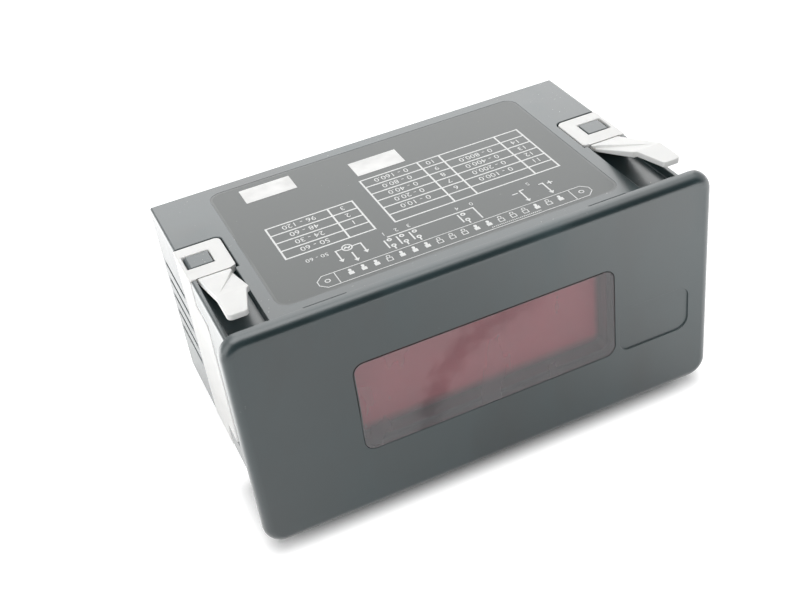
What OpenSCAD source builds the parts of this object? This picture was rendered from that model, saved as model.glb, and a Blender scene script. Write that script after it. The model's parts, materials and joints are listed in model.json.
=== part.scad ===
// Panel meter, 96 x 48 mm front, for a 92 x 45 mm cutout.
// X runs to the right seen from the front, Y to the rear, Z up.
// The origin is the centre of the panel's front plane, where the bezel seats.

/* [Bezel] */
// Width of the front bezel
bezel_w = 96; // [94:0.5:104]
// Height of the front bezel
bezel_h = 48; // [46.5:0.5:56]
// Thickness of the bezel in front of the panel
bezel_t = 2.6; // [2.3:0.1:4]
// Corner radius of the bezel's outline
bezel_corner = 4; // [3:0.25:6]
// Rounding of the bezel's front edge
bezel_edge = 2; // [1:0.1:2.2]
// Wall of the skirt that carries the display board
skirt_t = 1.5; // [1.2:0.1:2]

/* [Window] */
// Width of the display window
window_w = 52.8; // [52:0.2:56]
// Height of the display window
window_h = 20.2; // [20:0.1:22]
// Corner radius of the display window
window_corner = 2.2; // [1:0.1:3]
// Height of the window's centre above the bezel's centre
window_z = 0.4; // [-0.6:0.1:1]
// Thickness of the display window
window_t = 1.6; // [1:0.1:2]
// Width of the ledge that the window is bonded to
window_ledge = 0.8; // [0.5:0.1:1.2]
// Depth of the red filter behind the bezel's face
filter_depth = 4.6; // [4:0.1:6]
// Thickness of the red filter
filter_t = 1; // [0.6:0.1:1.5]

/* [Unit label recess] */
// Width of the recess for a unit label
recess_w = 15.6; // [12:0.2:16]
// Height of the recess for a unit label
recess_h = 10; // [8:0.2:13]
// Corner radius of the recess
recess_corner = 2.4; // [0.5:0.1:3]
// Depth of the recess
recess_depth = 0.3; // [0.2:0.05:0.6]
// Distance from the bezel's centre to the recess's centre
recess_x = 35.1; // [35:0.1:37]
// Height of the recess's centre
recess_z = -4.95; // [-8:0.05:4]

/* [Case] */
// Width of the case
case_w = 91.5; // [91:0.1:91.8]
// Height of the case
case_h = 40.4; // [39.4:0.2:43]
// Depth of the case behind the panel
case_d = 53.9; // [53:0.5:70]
// Wall of the case
wall = 2; // [1.6:0.1:2.2]
// Radius of the case's long edges
case_edge = 0.6; // [0.3:0.1:1]
// Number of ventilation slots in each side
vent_count = 5; // [3:1:6]
// Pitch of the ventilation slots
vent_pitch = 4.1; // [3:0.1:4.5]
// Height of a ventilation slot
vent_h = 1.3; // [0.8:0.1:2]

/* [Bezel hooks] */
// Half the distance between the hooks
hook_x = 28.4; // [24:0.1:29]
// How far both hooks lie to the right of the centre
hook_shift = 1.6; // [0:0.1:2]
// Width of a hook
hook_w = 7.6; // [5:0.1:8]
// Length of a hook's nose along the case
hook_len = 2.5; // [1.5:0.1:3.5]
// Distance from the panel plane to the hook's nose
hook_y = 2.4; // [1.5:0.1:4]
// Play of a hook in its slot
hook_play = 0.2; // [0.1:0.05:0.3]

/* [Top label] */
// Width of the label
label_w = 68.6; // [60:0.2:70]
// Length of the label
label_d = 43.6; // [38:0.2:44]
// Distance from the panel plane to the label
label_y = 7.4; // [7:0.1:8.5]
// Corner radius of the label
label_corner = 2.5; // [1:0.1:4]
// Thickness of the label
label_t = 0.15; // [0.1:0.01:0.2]
// Depth of the label's recess in the case
label_sink = 0.2; // [0.2:0.01:0.3]

/* [Mounting bracket] */
// Thickness of the bracket
bracket_t = 1.3; // [1:0.1:1.6]
// Distance from the panel plane to the bracket's flange
flange_y = 24.3; // [23:0.1:26]
// Length of the flange along the case
flange_len = 11.4; // [10:0.1:12]
// Width of the flange across the case's top
flange_w = 9.15; // [8.6:0.05:9.5]
// Height of the side plate's front pad
pad_h = 29; // [20:0.5:32]
// Distance from the panel plane to the pad's front edge
pad_y = 17; // [14:0.5:20]
// Width of the window that the case's lug snaps into
catch_w = 5.3; // [4:0.1:5.5]
// Length of the window that the case's lug snaps into
catch_len = 4.6; // [3.5:0.1:5]
// Distance from the flange's front edge to the middle of that window
catch_back = 6.1; // [5:0.1:7]
// Play left all round the bracket
bracket_play = 0.25; // [0.15:0.05:0.3]

/* [Spring tongue] */
// Thickness of the tongue
tongue_t = 1.2; // [0.9:0.05:1.2]
// Width of the tongue at its root
tongue_w = 6.3; // [5.5:0.1:6.5]
// Width of the tongue's end
tongue_tip_w = 3.8; // [3:0.1:4.5]
// Rise of the tongue above the case
tongue_rise = 5.4; // [4:0.1:5.6]
// Distance from the panel plane to the tongue's end
tongue_tip_y = 2.7; // [2.4:0.1:4]
// Length of the tongue's flat end
tongue_flat = 6.4; // [5:0.1:8]
// Gap round the tongue's hinge line
hinge_gap = 0.12; // [0.1:0.01:0.2]
// Extra depth of the pocket under the tongue
tongue_room = 0.4; // [0.3:0.1:0.6]
// Depth of the relief in front of the pocket
relief_depth = 0.7; // [0.6:0.05:0.9]
// Distance from the panel plane to the pocket's front end
pocket_y = 6.3; // [5.8:0.1:8]

/* [Display] */
// Number of digits
digit_count = 4; // [3:1:4]
// Margin of the window beyond the row of digits
digit_margin = 1; // [0.6:0.1:2]
// Height of a digit's housing
digit_h = 19; // [17:0.1:19]
// Depth of a digit's housing
digit_d = 8.1; // [7:0.1:9]
// Height of a digit's characters
char_h = 14.2; // [12:0.1:15]
// Width of a segment
segment_w = 1.5; // [1:0.1:1.8]
// Slant of the characters
slant = 8; // [0:1:10]

/* [Boards] */
// Thickness of the circuit boards
pcb_t = 1.6; // [1.2:0.1:1.6]
// Width of the grip of the case's board guides
guide_w = 1.3; // [1:0.1:1.6]
// Pitch of the pins of the chip, the digits and the strip between the boards
pin_pitch = 2.54; // [2:0.01:2.54]
// Side of a component's lead
lead = 0.6; // [0.4:0.05:0.7]
// Length of a lead below the board
lead_tail = 0.8; // [0.5:0.1:0.9]
// Play of a lead in its hole
hole_play = 0.1; // [0.05:0.05:0.2]
// Width of the converter chip
chip_w = 31.8; // [30.5:0.1:32.5]
// Depth of the converter chip's body
chip_d = 13.6; // [12:0.1:14]
// Height of the converter chip's body
chip_h = 3.8; // [3:0.1:4.5]
// Distance between the chip's two rows of pins
chip_rows = 15.24; // [14.8:0.01:15.3]
// Radius of the smoothing capacitor
smooth_r = 6.25; // [5:0.05:6.5]
// Height of the smoothing capacitor
smooth_h = 21; // [16:0.5:24]
// Radius of the filter capacitor
filter_r = 4.2; // [3:0.1:4.5]
// Height of the filter capacitor
filter_h = 14; // [10:0.5:20]
// Width of the rectifier and of the regulator
power_w = 8; // [7:0.1:9]
// Thickness of the rectifier and of the regulator
power_t = 4; // [3:0.1:4.6]
// Height of the rectifier's body
bridge_h = 10; // [8:0.5:14]
// Height of the regulator's body
regulator_h = 9; // [8:0.5:12]
// Height of the regulator's metal tab
tab_h = 15; // [13:0.5:20]
// Length of a resistor's body
resistor_len = 6.4; // [5:0.1:7.5]
// Radius of a resistor's body
resistor_r = 1.1; // [0.8:0.1:1.4]
// Width of a film capacitor
film_w = 6.4; // [6:0.1:8]
// Thickness of a film capacitor
film_t = 3; // [2:0.1:4]
// Height of a film capacitor
film_h = 7; // [5:0.5:10]

/* [Transformer] */
// Width of the transformer's core
core_w = 30; // [26:0.5:32]
// Height of the transformer's core
core_h = 25; // [22:0.5:28]
// Height of the transformer's feet
core_foot = 2.4; // [2:0.1:3]
// Clearance between the transformer and the case's roof
core_room = 1.8; // [1.2:0.1:2.2]
// Stack thickness of the transformer's core
core_t = 10; // [8:0.5:14]
// Outer depth of the transformer's coil
coil_d = 20; // [16:0.5:22]

/* [Terminals] */
// Number of terminals
pole_count = 18; // [10:1:18]
// Pitch of the terminals
pole_pitch = 3.81; // [3.5:0.01:3.81]
// Width of the screw ear at each end of the terminal block
ear_w = 5.4; // [5.2:0.1:5.4]
// Height of the fixed header
header_h = 7.2; // [7:0.1:8]
// Depth of the fixed header
header_d = 9.2; // [9:0.1:10]
// Depth of the plug behind the case
plug_d = 11; // [10:0.5:14]
// Height of the plug
plug_h = 11.2; // [11:0.1:12]
// Side of the header's square pins
pin_side = 1; // [0.8:0.05:1]
// Radius of the flange screws
flange_screw_r = 1.2; // [1:0.05:1.3]
// Width of a wire entry
entry_w = 2.6; // [2:0.1:2.6]
// Height of a wire entry
entry_h = 2.8; // [2:0.1:3]
// Radius of a terminal screw's well
well_r = 1.45; // [1.2:0.05:1.5]
// Radius of a terminal screw's head
terminal_head_r = 1.3; // [1:0.05:1.35]
// Radius of a terminal screw's thread
terminal_screw_r = 0.88; // [0.7:0.01:0.95]
// Outer side of a clamp's pin socket
socket_side = 1.8; // [1.6:0.05:1.85]

/* [Hidden] */

$fn = 48;
// Overlap that joins two solids of one piece
eps = 0.01;
// Clearance all round a piece that is bonded or pressed into its seat
seat_play = 0.05;

// Case: outer half sizes, floors of the pockets and half sizes of the two cavities
case_x = case_w / 2;
case_z = case_h / 2;
flange_floor = case_z - bracket_t;
tongue_floor = flange_floor - tongue_room;
bracket_proud = 0.1;
side_floor = case_x + bracket_proud - bracket_t;
flange_x = case_x + bracket_proud - flange_w;
cavity_side_x = side_floor - wall;
cavity_side_z = tongue_floor - wall;
cavity_mid_x = flange_x - bracket_play - wall;
cavity_mid_z = case_z - wall;
rear_in = case_d - wall;
flange_end = flange_y + flange_len;
label_play = 0.1;
header_play = 0.2;

// Spring tongue: hinge axis, outer edge and centre line of its two legs
rail_t = 1.15;
tongue_side_play = 0.3;
tongue_x = case_x - rail_t - tongue_side_play;
hinge_y = flange_y - 0.3;
hinge_z = case_z - bracket_t / 2;
hinge_r = tongue_t / 2;
tip_top = case_z + tongue_rise;
bend_y = tongue_tip_y + tongue_flat;
bend_z = tip_top - tongue_t / 2;
ramp_angle = atan2(bend_z - hinge_z, hinge_y - bend_y);
ramp_len = norm([hinge_y - bend_y, bend_z - hinge_z]);
facet_angle = 2.6;

// Snap catch: the window in the flange and the lug on the case
catch_edge = 0.65;
catch_x = case_x - catch_edge - catch_w / 2;
catch_y = flange_y + catch_back;
lug_play = 0.2;
lug_slope = 0.5;
lug_top = case_z - 0.05;

// Display stack behind the bezel's face
filter_y = filter_depth - bezel_t;
filter_over = 0.1;
filter_play = 0.1;
filter_seat = filter_over + filter_play;
digit_gap = 0.2;
digit_y = filter_y + filter_t + digit_gap;
skirt_len = digit_y + digit_d;
skirt_play = 0.2;
skirt_x = cavity_side_x - skirt_play;
skirt_z = cavity_side_z - skirt_play;
digit_pitch = (window_w - 2 * digit_margin) / digit_count;
digit_w = digit_pitch - digit_gap;
digit_pin_z = digit_h / 2 - 1.9;
digit_pin = 0.5;
slot_h = digit_pin + 0.3;
tunnel_t = 1.2;
boss_x = skirt_x - skirt_t - 2.6;
boss_z = skirt_z - skirt_t - 2.4;
boss_r = 2.2;
board_screw_r = 1;
screw_play = 0.05;
board_hole_play = 0.15;

// Main board: it hangs one transformer's height below the case's roof
board_head_r = 1.9;
board_head_t = 1.3;
core_z0 = cavity_mid_z - core_room - core_h;
board_z = core_z0 - core_foot;
board_under = board_z - pcb_t;
lead_end = board_under - lead_tail;
main_y = skirt_len + pcb_t + board_head_t + 0.3;
main_end = rear_in - 1.4;
main_x = cavity_side_x - 0.25;
guide_t = 1.2;

// Pin strip between the boards
link_pins = 12;
link_x0 = 8;
link_z = board_z + 1.4;
link_y = main_y + 0.4;
link_tail_y = link_y + 3.4;
link_body_d = 2.5;
link_body_h = 2.6;

// Transformer: in the front left corner of the board
core_x = core_w / 2 + 4.3 - main_x;
core_y = main_y + 2.9 + coil_d / 2;
leg_w = core_w / 3;
window_core_w = core_w / 6;
yoke_h = core_w / 6;
coil_h = core_h - 2 * yoke_h;
bobbin_t = 1.1;
bobbin_play = 0.05;
bobbin_w = leg_w + 2 * window_core_w - 4 * bobbin_play;
bobbin_z0 = core_z0 + yoke_h + bobbin_play;
bobbin_z1 = core_z0 + core_h - yoke_h - bobbin_play;
foot_d = 3;
foot_y = coil_d / 2 - foot_d / 2;
bobbin_pin_x = [-10, -5, 5, 10];

// Other parts on the board, from the transformer to the right and to the rear
smooth_x = core_x + core_w / 2 + 0.45 + smooth_r;
smooth_y = main_y + 3.25 + smooth_r;
smooth_pitch = 5;
chip_pins = 12;
chip_x = smooth_x + smooth_r + 0.8 + chip_w / 2;
chip_y = main_y + 4.6 + chip_rows / 2;
chip_z = board_z + 0.4;
chip_leg_w = 0.5;
chip_leg_t = 0.4;
filter_x = 17;
filter_pitch = 3.5;

// Header and plug
pole_span = pole_count * pole_pitch;
header_x = pole_span / 2 + ear_w;
header_y = case_d - header_d;
header_z = board_z + header_h / 2;
plug_y = case_d + 0.3;
plug_end = plug_y + plug_d;
plug_z0 = header_z - 5.2;
plug_in_x = pole_span / 2 - 0.5;
plug_in_h = header_h - 2.2;
plug_play = 0.2;
header_back = 1.5;
pin_play = 0.02;
pin_y = header_y - 1;
ear_x = pole_span / 2 + ear_w / 2;
entry_z = plug_z0 + 3.1;
screw_z = plug_z0 + plug_h - 3;
clamp_w = pole_pitch - 1;
clamp_y = plug_y + 2.4;
clamp_d = 3.2;
clamp_z0 = entry_z - entry_h / 2 - 0.65;
clamp_z1 = screw_z + 2;
nut_side = 4.2;
nut_t = 2;
nut_y = header_y + 4.2;
screw_head_r = 2.1;
screw_head_len = 2.4;
screw_head_sink = 5;
thread_play = 0.05;

// Parts in the last row of the board, in front of the header
power_y = header_y - 5.4;
power_foot = 3;
power_pitch = 5;
bridge_x = 27;
regulator_x = bridge_x + power_w + 2;
resistor_count = 3;
resistor_pitch = 10;
resistor_y = header_y - 3.5;
film_count = 2;
film_x = smooth_x;
film_pitch = 5;

// A rounded rectangle, centred
module round_rect(w, h, r) {
    square([w - 2 * r, h], center = true);
    square([w, h - 2 * r], center = true);
    for (sx = [-1, 1], sy = [-1, 1])
        translate([sx * (w / 2 - r), sy * (h / 2 - r)]) circle(r);
}

// Stands a flat shape up in the XZ plane and gives it a depth along +Y
module along_y(y, depth) {
    translate([0, y + depth, 0]) rotate([90, 0, 0]) linear_extrude(depth) children();
}

// A rounded plate in the XZ plane
module plate_y(w, h, r, y, depth) {
    along_y(y, depth) round_rect(w, h, r);
}

// A box from its lowest to its highest corner
module span_box(lo, hi) {
    translate(lo) cube([hi[0] - lo[0], hi[1] - lo[1], hi[2] - lo[2]]);
}

// A cylinder along +Y
module rod_y(x, z, y, len, r) {
    translate([x, y, z]) rotate([-90, 0, 0]) cylinder(h = len, r = r);
}

// Draws a right-hand, upper piece at any of the four corners
module at_corner(side, up) {
    mirror([side < 0 ? 1 : 0, 0, 0]) mirror([0, 0, up < 0 ? 1 : 0]) children();
}

function pole_x(i) = (i - (pole_count - 1) / 2) * pole_pitch;
function digit_x(i) = (i - (digit_count - 1) / 2) * digit_pitch;
function link_pin_x(k) = link_x0 + k * pin_pitch;
function chip_pin_x(k) = chip_x + (k - (chip_pins - 1) / 2) * pin_pitch;
function resistor_x(i) = resistor_pitch / 2 + 2.3 - main_x + i * (resistor_pitch + 1.5);
function film_y(i) = header_y - 4.5 - i * (film_t + 1.9);

// ---------------------------------------------------------------- front

// A quarter-round rim: the bezel's corner, turned about its own axis
module bezel_corner_turn() {
    rotate([90, 0, 0]) rotate_extrude($fn = 48) {
        square([bezel_corner - bezel_edge, bezel_t]);
        square([bezel_corner, bezel_t - bezel_edge]);
        intersection() {
            translate([bezel_corner - bezel_edge, bezel_t - bezel_edge]) circle(bezel_edge, $fn = 32);
            square([bezel_corner, bezel_t]);
        }
    }
}

module bezel_blank() {
    hull()
        for (sx = [-1, 1], sz = [-1, 1])
            translate([sx * (bezel_w / 2 - bezel_corner), 0, sz * (bezel_h / 2 - bezel_corner)])
                bezel_corner_turn();
}

// Places an upper, centred hook or its slot at the four hooks' places
module at_hooks() {
    for (sx = [-1, 1], up = [-1, 1])
        translate([hook_shift + sx * hook_x, 0, 0]) at_corner(1, up) children();
}

module bezel_hook() {
    span_box([-hook_w / 2, -eps, skirt_z - skirt_t],
             [hook_w / 2, hook_y + hook_len + 0.8, cavity_mid_z - 0.2]);
    span_box([-hook_w / 2, hook_y, skirt_z - skirt_t],
             [hook_w / 2, hook_y + hook_len, case_z - 0.05]);
}

module front_bezel() {
    tunnel_w = window_w - 2 * window_ledge;
    tunnel_h = window_h - 2 * window_ledge;
    seat_w = window_w + 2 * filter_seat;
    seat_h = window_h + 2 * filter_seat;
    color("#303437") difference() {
        union() {
            bezel_blank();
            difference() {
                plate_y(2 * skirt_x, 2 * skirt_z, 1, -eps, skirt_len + eps);
                plate_y(2 * (skirt_x - skirt_t), 2 * (skirt_z - skirt_t), 0.6, 0, skirt_len + 1);
            }
            translate([0, 0, window_z])
                plate_y(seat_w + 2 * tunnel_t, seat_h + 2 * tunnel_t, 2,
                        -eps, filter_y + filter_t + eps);
            for (sx = [-1, 1], sz = [-1, 1])
                rod_y(sx * boss_x, sz * boss_z, -eps, skirt_len + eps, boss_r);
            at_hooks() bezel_hook();
        }
        translate([0, 0, window_z]) {
            plate_y(window_w + 2 * seat_play, window_h + 2 * seat_play, window_corner + seat_play,
                    -bezel_t - 1, window_t + 1);
            plate_y(tunnel_w, tunnel_h, 1.5, -bezel_t - 1, filter_y + bezel_t + 1);
            plate_y(seat_w, seat_h, 1, filter_y, filter_t + 1);
        }
        translate([recess_x, 0, recess_z])
            plate_y(recess_w, recess_h, recess_corner, -bezel_t - 1, 1 + recess_depth);
        for (sx = [-1, 1], sz = [-1, 1])
            rod_y(sx * boss_x, sz * boss_z, skirt_len - 7, 8, board_screw_r + screw_play);
    }
}

module display_window() {
    color("#4a2c33", 0.7) translate([0, 0, window_z])
        plate_y(window_w - 2 * seat_play, window_h - 2 * seat_play, window_corner - seat_play,
                -bezel_t, window_t);
}

module red_filter() {
    color("#a03545", 0.8) translate([0, 0, window_z])
        plate_y(window_w + 2 * filter_over, window_h + 2 * filter_over, 0.9, filter_y, filter_t);
}

// ---------------------------------------------------------------- case

// Everything that one bracket corner takes out of the case, drawn right-hand and upper
module pocket_cut() {
    p = bracket_play;
    // seat of the flange, with its rounded inner corner
    translate([0, 0, flange_floor]) linear_extrude(bracket_t + 1) {
        translate([flange_x - p + 1.4, flange_end + p - 1.4]) circle(1.4);
        translate([flange_x - p + 1.4, flange_y - p]) square([flange_w + 1, flange_len + 2 * p]);
        translate([flange_x - p, flange_y - p]) square([flange_w + 1, flange_len + 2 * p - 1.4]);
    }
    // room for the tongue to be pressed in, and the shallow relief in front of it
    span_box([flange_x + 0.5, pocket_y, tongue_floor],
             [case_x - rail_t, flange_y + 0.6, case_z + 1]);
    span_box([flange_x + 0.5, 0.8, case_z - relief_depth],
             [case_x - rail_t, pocket_y + eps, case_z + 1]);
}

module side_recess() {
    p = bracket_play;
    span_box([side_floor, flange_y - p, -case_z - 1], [case_x + 1, flange_end + p, case_z + 1]);
    span_box([side_floor, pad_y - p, -pad_h / 2 - p],
             [case_x + 1, flange_y, pad_h / 2 + p]);
}

// The lug in the flange's window: flat on top, its outer edge sloped and hooked over the side plate
module catch_lug() {
    lug_len = catch_len - 2 * lug_play;
    inner = catch_x - catch_w / 2 + lug_play;
    outer = catch_x + catch_w / 2 - lug_play;
    along_y(catch_y - lug_len / 2, lug_len)
        polygon([
            [inner, flange_floor - 0.5], [side_floor, flange_floor - 0.5],
            [side_floor, flange_floor + lug_play], [outer, flange_floor + lug_play],
            [outer, lug_top - lug_slope], [outer - lug_slope, lug_top], [inner, lug_top]
        ]);
}

module board_guide() {
    for (z = [board_z - pcb_t - guide_t - 0.1, board_z + 0.1])
        span_box([cavity_side_x - guide_w, main_y + 0.6, z],
                 [cavity_side_x + eps, rear_in + eps, z + guide_t]);
}

module case_shell() {
    vent_y = flange_end + bracket_play + 1.4;
    vent_end = case_d - 2;
    color("#3a3f42") difference() {
        union() {
            difference() {
                plate_y(case_w, case_h, case_edge, 0, case_d);
                plate_y(2 * cavity_side_x, 2 * cavity_side_z, 0.4, -1, rear_in + 1);
                plate_y(2 * cavity_mid_x, 2 * cavity_mid_z, 0.4, -1, rear_in + 1);
                for (side = [-1, 1]) {
                    mirror([side < 0 ? 1 : 0, 0, 0]) side_recess();
                    for (up = [-1, 1]) at_corner(side, up) pocket_cut();
                }
            }
            for (side = [-1, 1]) {
                mirror([side < 0 ? 1 : 0, 0, 0]) board_guide();
                for (up = [-1, 1]) at_corner(side, up) catch_lug();
            }
        }
        // hook slots in the top and bottom walls
        at_hooks()
            span_box([-hook_w / 2 - hook_play, hook_y - hook_play, cavity_mid_z - 1],
                     [hook_w / 2 + hook_play, hook_y + hook_len + hook_play + 0.1, case_z + 1]);
        // ventilation slots behind the brackets
        for (side = [-1, 1], i = [0 : vent_count - 1])
            mirror([side < 0 ? 1 : 0, 0, 0])
                translate([0, 0, (i - (vent_count - 1) / 2) * vent_pitch - vent_h / 2])
                    span_box([cavity_side_x - 1, vent_y, 0], [case_x + 1, vent_end, vent_h]);
        // seat of the label
        translate([0, label_y + label_d / 2, case_z - label_sink]) linear_extrude(1)
            round_rect(label_w + 2 * label_play, label_d + 2 * label_play,
                       label_corner + label_play);
        // mouth for the terminal header
        span_box([-header_x - header_play, rear_in - 1, board_z - header_play],
                 [header_x + header_play, case_d + 1, board_z + header_h + header_play]);
    }
}

module top_label() {
    color("#2b2f31") translate([0, label_y + label_d / 2, case_z - label_sink])
        linear_extrude(label_t) round_rect(label_w, label_d, label_corner);
}

// ---------------------------------------------------------------- brackets

module flange() {
    corner_r = 1.2;
    bevel = [1.1, 0.9];
    translate([0, 0, flange_floor]) linear_extrude(bracket_t) {
        translate([flange_x + corner_r, flange_end - corner_r]) circle(corner_r);
        polygon([
            [flange_x + bevel[0], flange_y], [flange_x + flange_w, flange_y],
            [flange_x + flange_w, flange_end], [flange_x + corner_r, flange_end],
            [flange_x, flange_end - corner_r], [flange_x, flange_y + bevel[1]]
        ]);
    }
}

// The catch window, and the hollow that the tongue's round root turns in
module flange_openings() {
    translate([catch_x - catch_w / 2, catch_y - catch_len / 2, flange_floor])
        cube([catch_w, catch_len, bracket_t + 1]);
    translate([tongue_x - tongue_w - 0.3, hinge_y, hinge_z]) rotate([0, 90, 0])
        cylinder(h = tongue_w + 0.6, r = hinge_r + hinge_gap);
}

module bracket() {
    color("#f2f2ee") difference() {
        union() {
            for (up = [-1, 1]) at_corner(1, up) flange();
            span_box([side_floor, flange_y, -flange_floor - eps],
                     [case_x + bracket_proud, flange_end, flange_floor + eps]);
            translate([side_floor, 0, 0]) rotate([90, 0, 90]) linear_extrude(bracket_t)
                translate([(pad_y + flange_y + 3) / 2, 0])
                    round_rect(flange_y + 3 - pad_y, pad_h, 1.5);
        }
        for (up = [-1, 1]) at_corner(1, up) flange_openings();
    }
}

module left_bracket() {
    mirror([1, 0, 0]) bracket();
}

module right_bracket() {
    bracket();
}

// Outline of the tongue from above: straight outside, tapered inside, rounded end
module tongue_outline() {
    x1 = tongue_x;
    x0 = tongue_x - tongue_w;
    tip_r = 1;
    in_r = 0.7;
    tip_x = x1 - tongue_tip_w;
    polygon([
        [x1, hinge_y], [x0, hinge_y], [x0 + 0.3, bend_y + 0.3], [x0 + 0.9, bend_y - 0.3],
        [tip_x, tongue_tip_y + in_r], [tip_x + in_r, tongue_tip_y],
        [x1 - tip_r, tongue_tip_y], [x1, tongue_tip_y + tip_r]
    ]);
    translate([x1 - tip_r, tongue_tip_y + tip_r]) circle(tip_r);
    translate([tip_x + in_r, tongue_tip_y + in_r]) circle(in_r);
}

// Side view of the tongue, in Y and Z: a ramp and a flat end of one thickness
module tongue_side() {
    translate([bend_y, bend_z]) circle(hinge_r);
    translate([tongue_tip_y, bend_z - hinge_r]) square([tongue_flat, tongue_t]);
    translate([hinge_y, hinge_z]) rotate(180 - ramp_angle)
        translate([0, -hinge_r]) square([ramp_len, tongue_t]);
}

// The sunk facet on the inner half of the ramp: it starts at the bend and is deepest at the root
module tongue_facet() {
    inner = tongue_x - tongue_w - 1;
    root_y = hinge_y - 1.3;
    intersection() {
        translate([0, 0, tongue_floor]) linear_extrude(tongue_rise + 4)
            polygon([[tongue_x - 0.5, bend_y], [inner, bend_y], [inner, root_y],
                     [tongue_x - tongue_w + 0.2, root_y]]);
        translate([inner - 1, bend_y, bend_z]) rotate([-ramp_angle - facet_angle, 0, 0])
            translate([0, 0, hinge_r]) cube([tongue_w + 3, ramp_len + 2, 4]);
    }
}

module tongue() {
    color("#f2f2ee") {
        difference() {
            intersection() {
                translate([tongue_x - tongue_w - 1, 0, 0]) rotate([90, 0, 90])
                    linear_extrude(tongue_w + 2) tongue_side();
                translate([0, 0, tongue_floor]) linear_extrude(tongue_rise + 4) tongue_outline();
            }
            tongue_facet();
        }
        translate([tongue_x - tongue_w, hinge_y, hinge_z]) rotate([0, 90, 0])
            cylinder(h = tongue_w, r = hinge_r);
    }
}

module left_upper_tongue() {
    at_corner(-1, 1) tongue();
}

module left_lower_tongue() {
    at_corner(-1, -1) tongue();
}

module right_upper_tongue() {
    at_corner(1, 1) tongue();
}

module right_lower_tongue() {
    at_corner(1, -1) tongue();
}

// ---------------------------------------------------------------- display

// One bar of a digit: a pointed strip from a to b, slanted with the character
module bar(a, b, w) {
    d = (b - a) / norm(b - a);
    n = [-d[1], d[0]] * w / 2;
    t = d * w / 2;
    pts = [a, a + t + n, b - t + n, b, b - t - n, a + t - n];
    polygon([for (p = pts) [p[0] + p[1] * tan(slant), p[1]]]);
}

// The seven bars and the point, in the XZ plane round the digit's centre
module digit_pattern(w) {
    cw = char_h * 0.26;
    ch = char_h / 2 - segment_w / 2;
    gap = 0.15;
    for (z = [-ch, 0, ch]) bar([-cw + gap, z], [cw - gap, z], w);
    for (x = [-cw, cw], z = [-ch, 0]) bar([x, z + gap], [x, z + ch - gap], w);
    translate([cw + 1, -ch]) circle(w / 2);
}

module led_digit(i) {
    color("#8c8c90") translate([digit_x(i), 0, window_z]) difference() {
        union() {
            along_y(digit_y, digit_d) square([digit_w, digit_h], center = true);
            for (row = [-1, 1], k = [-2 : 2])
                translate([k * pin_pitch - digit_pin / 2, skirt_len - eps,
                           row * digit_pin_z - digit_pin / 2])
                    cube([digit_pin, pcb_t + lead_tail + 0.4, digit_pin]);
        }
        along_y(digit_y - 1, 1.3) digit_pattern(segment_w + 0.04);
    }
}

module led_digit_1() {
    led_digit(0);
}

module led_digit_2() {
    led_digit(1);
}

module led_digit_3() {
    led_digit(2);
}

module led_digit_4() {
    led_digit(3);
}

module digit_segments() {
    color("#7d2a33")
        for (i = [0 : digit_count - 1])
            translate([digit_x(i), 0, window_z])
                along_y(digit_y + 0.02, 0.26) digit_pattern(segment_w);
}

module display_board() {
    link_hole = lead + 2 * hole_play;
    color("#2f6b45") difference() {
        plate_y(2 * skirt_x, 2 * skirt_z, 1, skirt_len, pcb_t);
        for (sx = [-1, 1], sz = [-1, 1])
            rod_y(sx * boss_x, sz * boss_z, skirt_len - 1, pcb_t + 2,
                  board_screw_r + board_hole_play);
        for (i = [0 : digit_count - 1], row = [-1, 1])
            translate([digit_x(i), 0, window_z + row * digit_pin_z])
                along_y(skirt_len - 1, pcb_t + 2)
                    square([4 * pin_pitch + digit_pin + 0.5, slot_h], center = true);
        for (k = [0 : link_pins - 1])
            translate([link_pin_x(k) - link_hole / 2, skirt_len - 1, link_z - link_hole / 2])
                cube([link_hole, pcb_t + 2, link_hole]);
    }
}

module display_board_screws() {
    head_y = skirt_len + pcb_t;
    shank = 6.5;
    color("#b9bcc0")
        for (sx = [-1, 1], sz = [-1, 1]) difference() {
            union() {
                rod_y(sx * boss_x, sz * boss_z, head_y - shank, shank + eps, board_screw_r);
                rod_y(sx * boss_x, sz * boss_z, head_y, board_head_t, board_head_r);
            }
            for (a = [0, 90])
                translate([sx * boss_x, head_y + board_head_t, sz * boss_z]) rotate([0, a, 0])
                    cube([1.2 * board_head_r, 1.4, 0.5], center = true);
        }
}

// Right-angle pin strip from the display board down to the main board
module board_link() {
    h = lead / 2;
    last = link_pin_x(link_pins - 1);
    color("#2a2a2c") difference() {
        span_box([link_x0 - pin_pitch / 2, link_y, board_z],
                 [last + pin_pitch / 2, link_y + link_body_d, board_z + link_body_h]);
        for (k = [0 : link_pins - 1])
            span_box([link_pin_x(k) - h, link_y - 1, link_z - h],
                     [link_pin_x(k) + h, link_y + link_body_d + 1, link_z + h]);
    }
    color("#c9b46a") for (k = [0 : link_pins - 1]) {
        span_box([link_pin_x(k) - h, skirt_len - lead_tail, link_z - h],
                 [link_pin_x(k) + h, link_tail_y + h, link_z + h]);
        span_box([link_pin_x(k) - h, link_tail_y - h, lead_end],
                 [link_pin_x(k) + h, link_tail_y + h, link_z]);
    }
}

// ---------------------------------------------------------------- main board

// A square hole through the board for a lead of this side
module board_hole(x, y, side) {
    w = side + 2 * hole_play;
    translate([x - w / 2, y - w / 2, board_under - 1]) cube([w, w, pcb_t + 2]);
}

// Holes for two leads in the board
module lead_holes(x, y, pitch) {
    for (s = [-1, 1]) board_hole(x + s * pitch / 2, y, lead);
}

// Two leads that end below the board and reach up to a part
module leads(x, y, pitch, top) {
    for (s = [-1, 1])
        span_box([x + s * pitch / 2 - lead / 2, y - lead / 2, lead_end],
                 [x + s * pitch / 2 + lead / 2, y + lead / 2, top + eps]);
}

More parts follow.
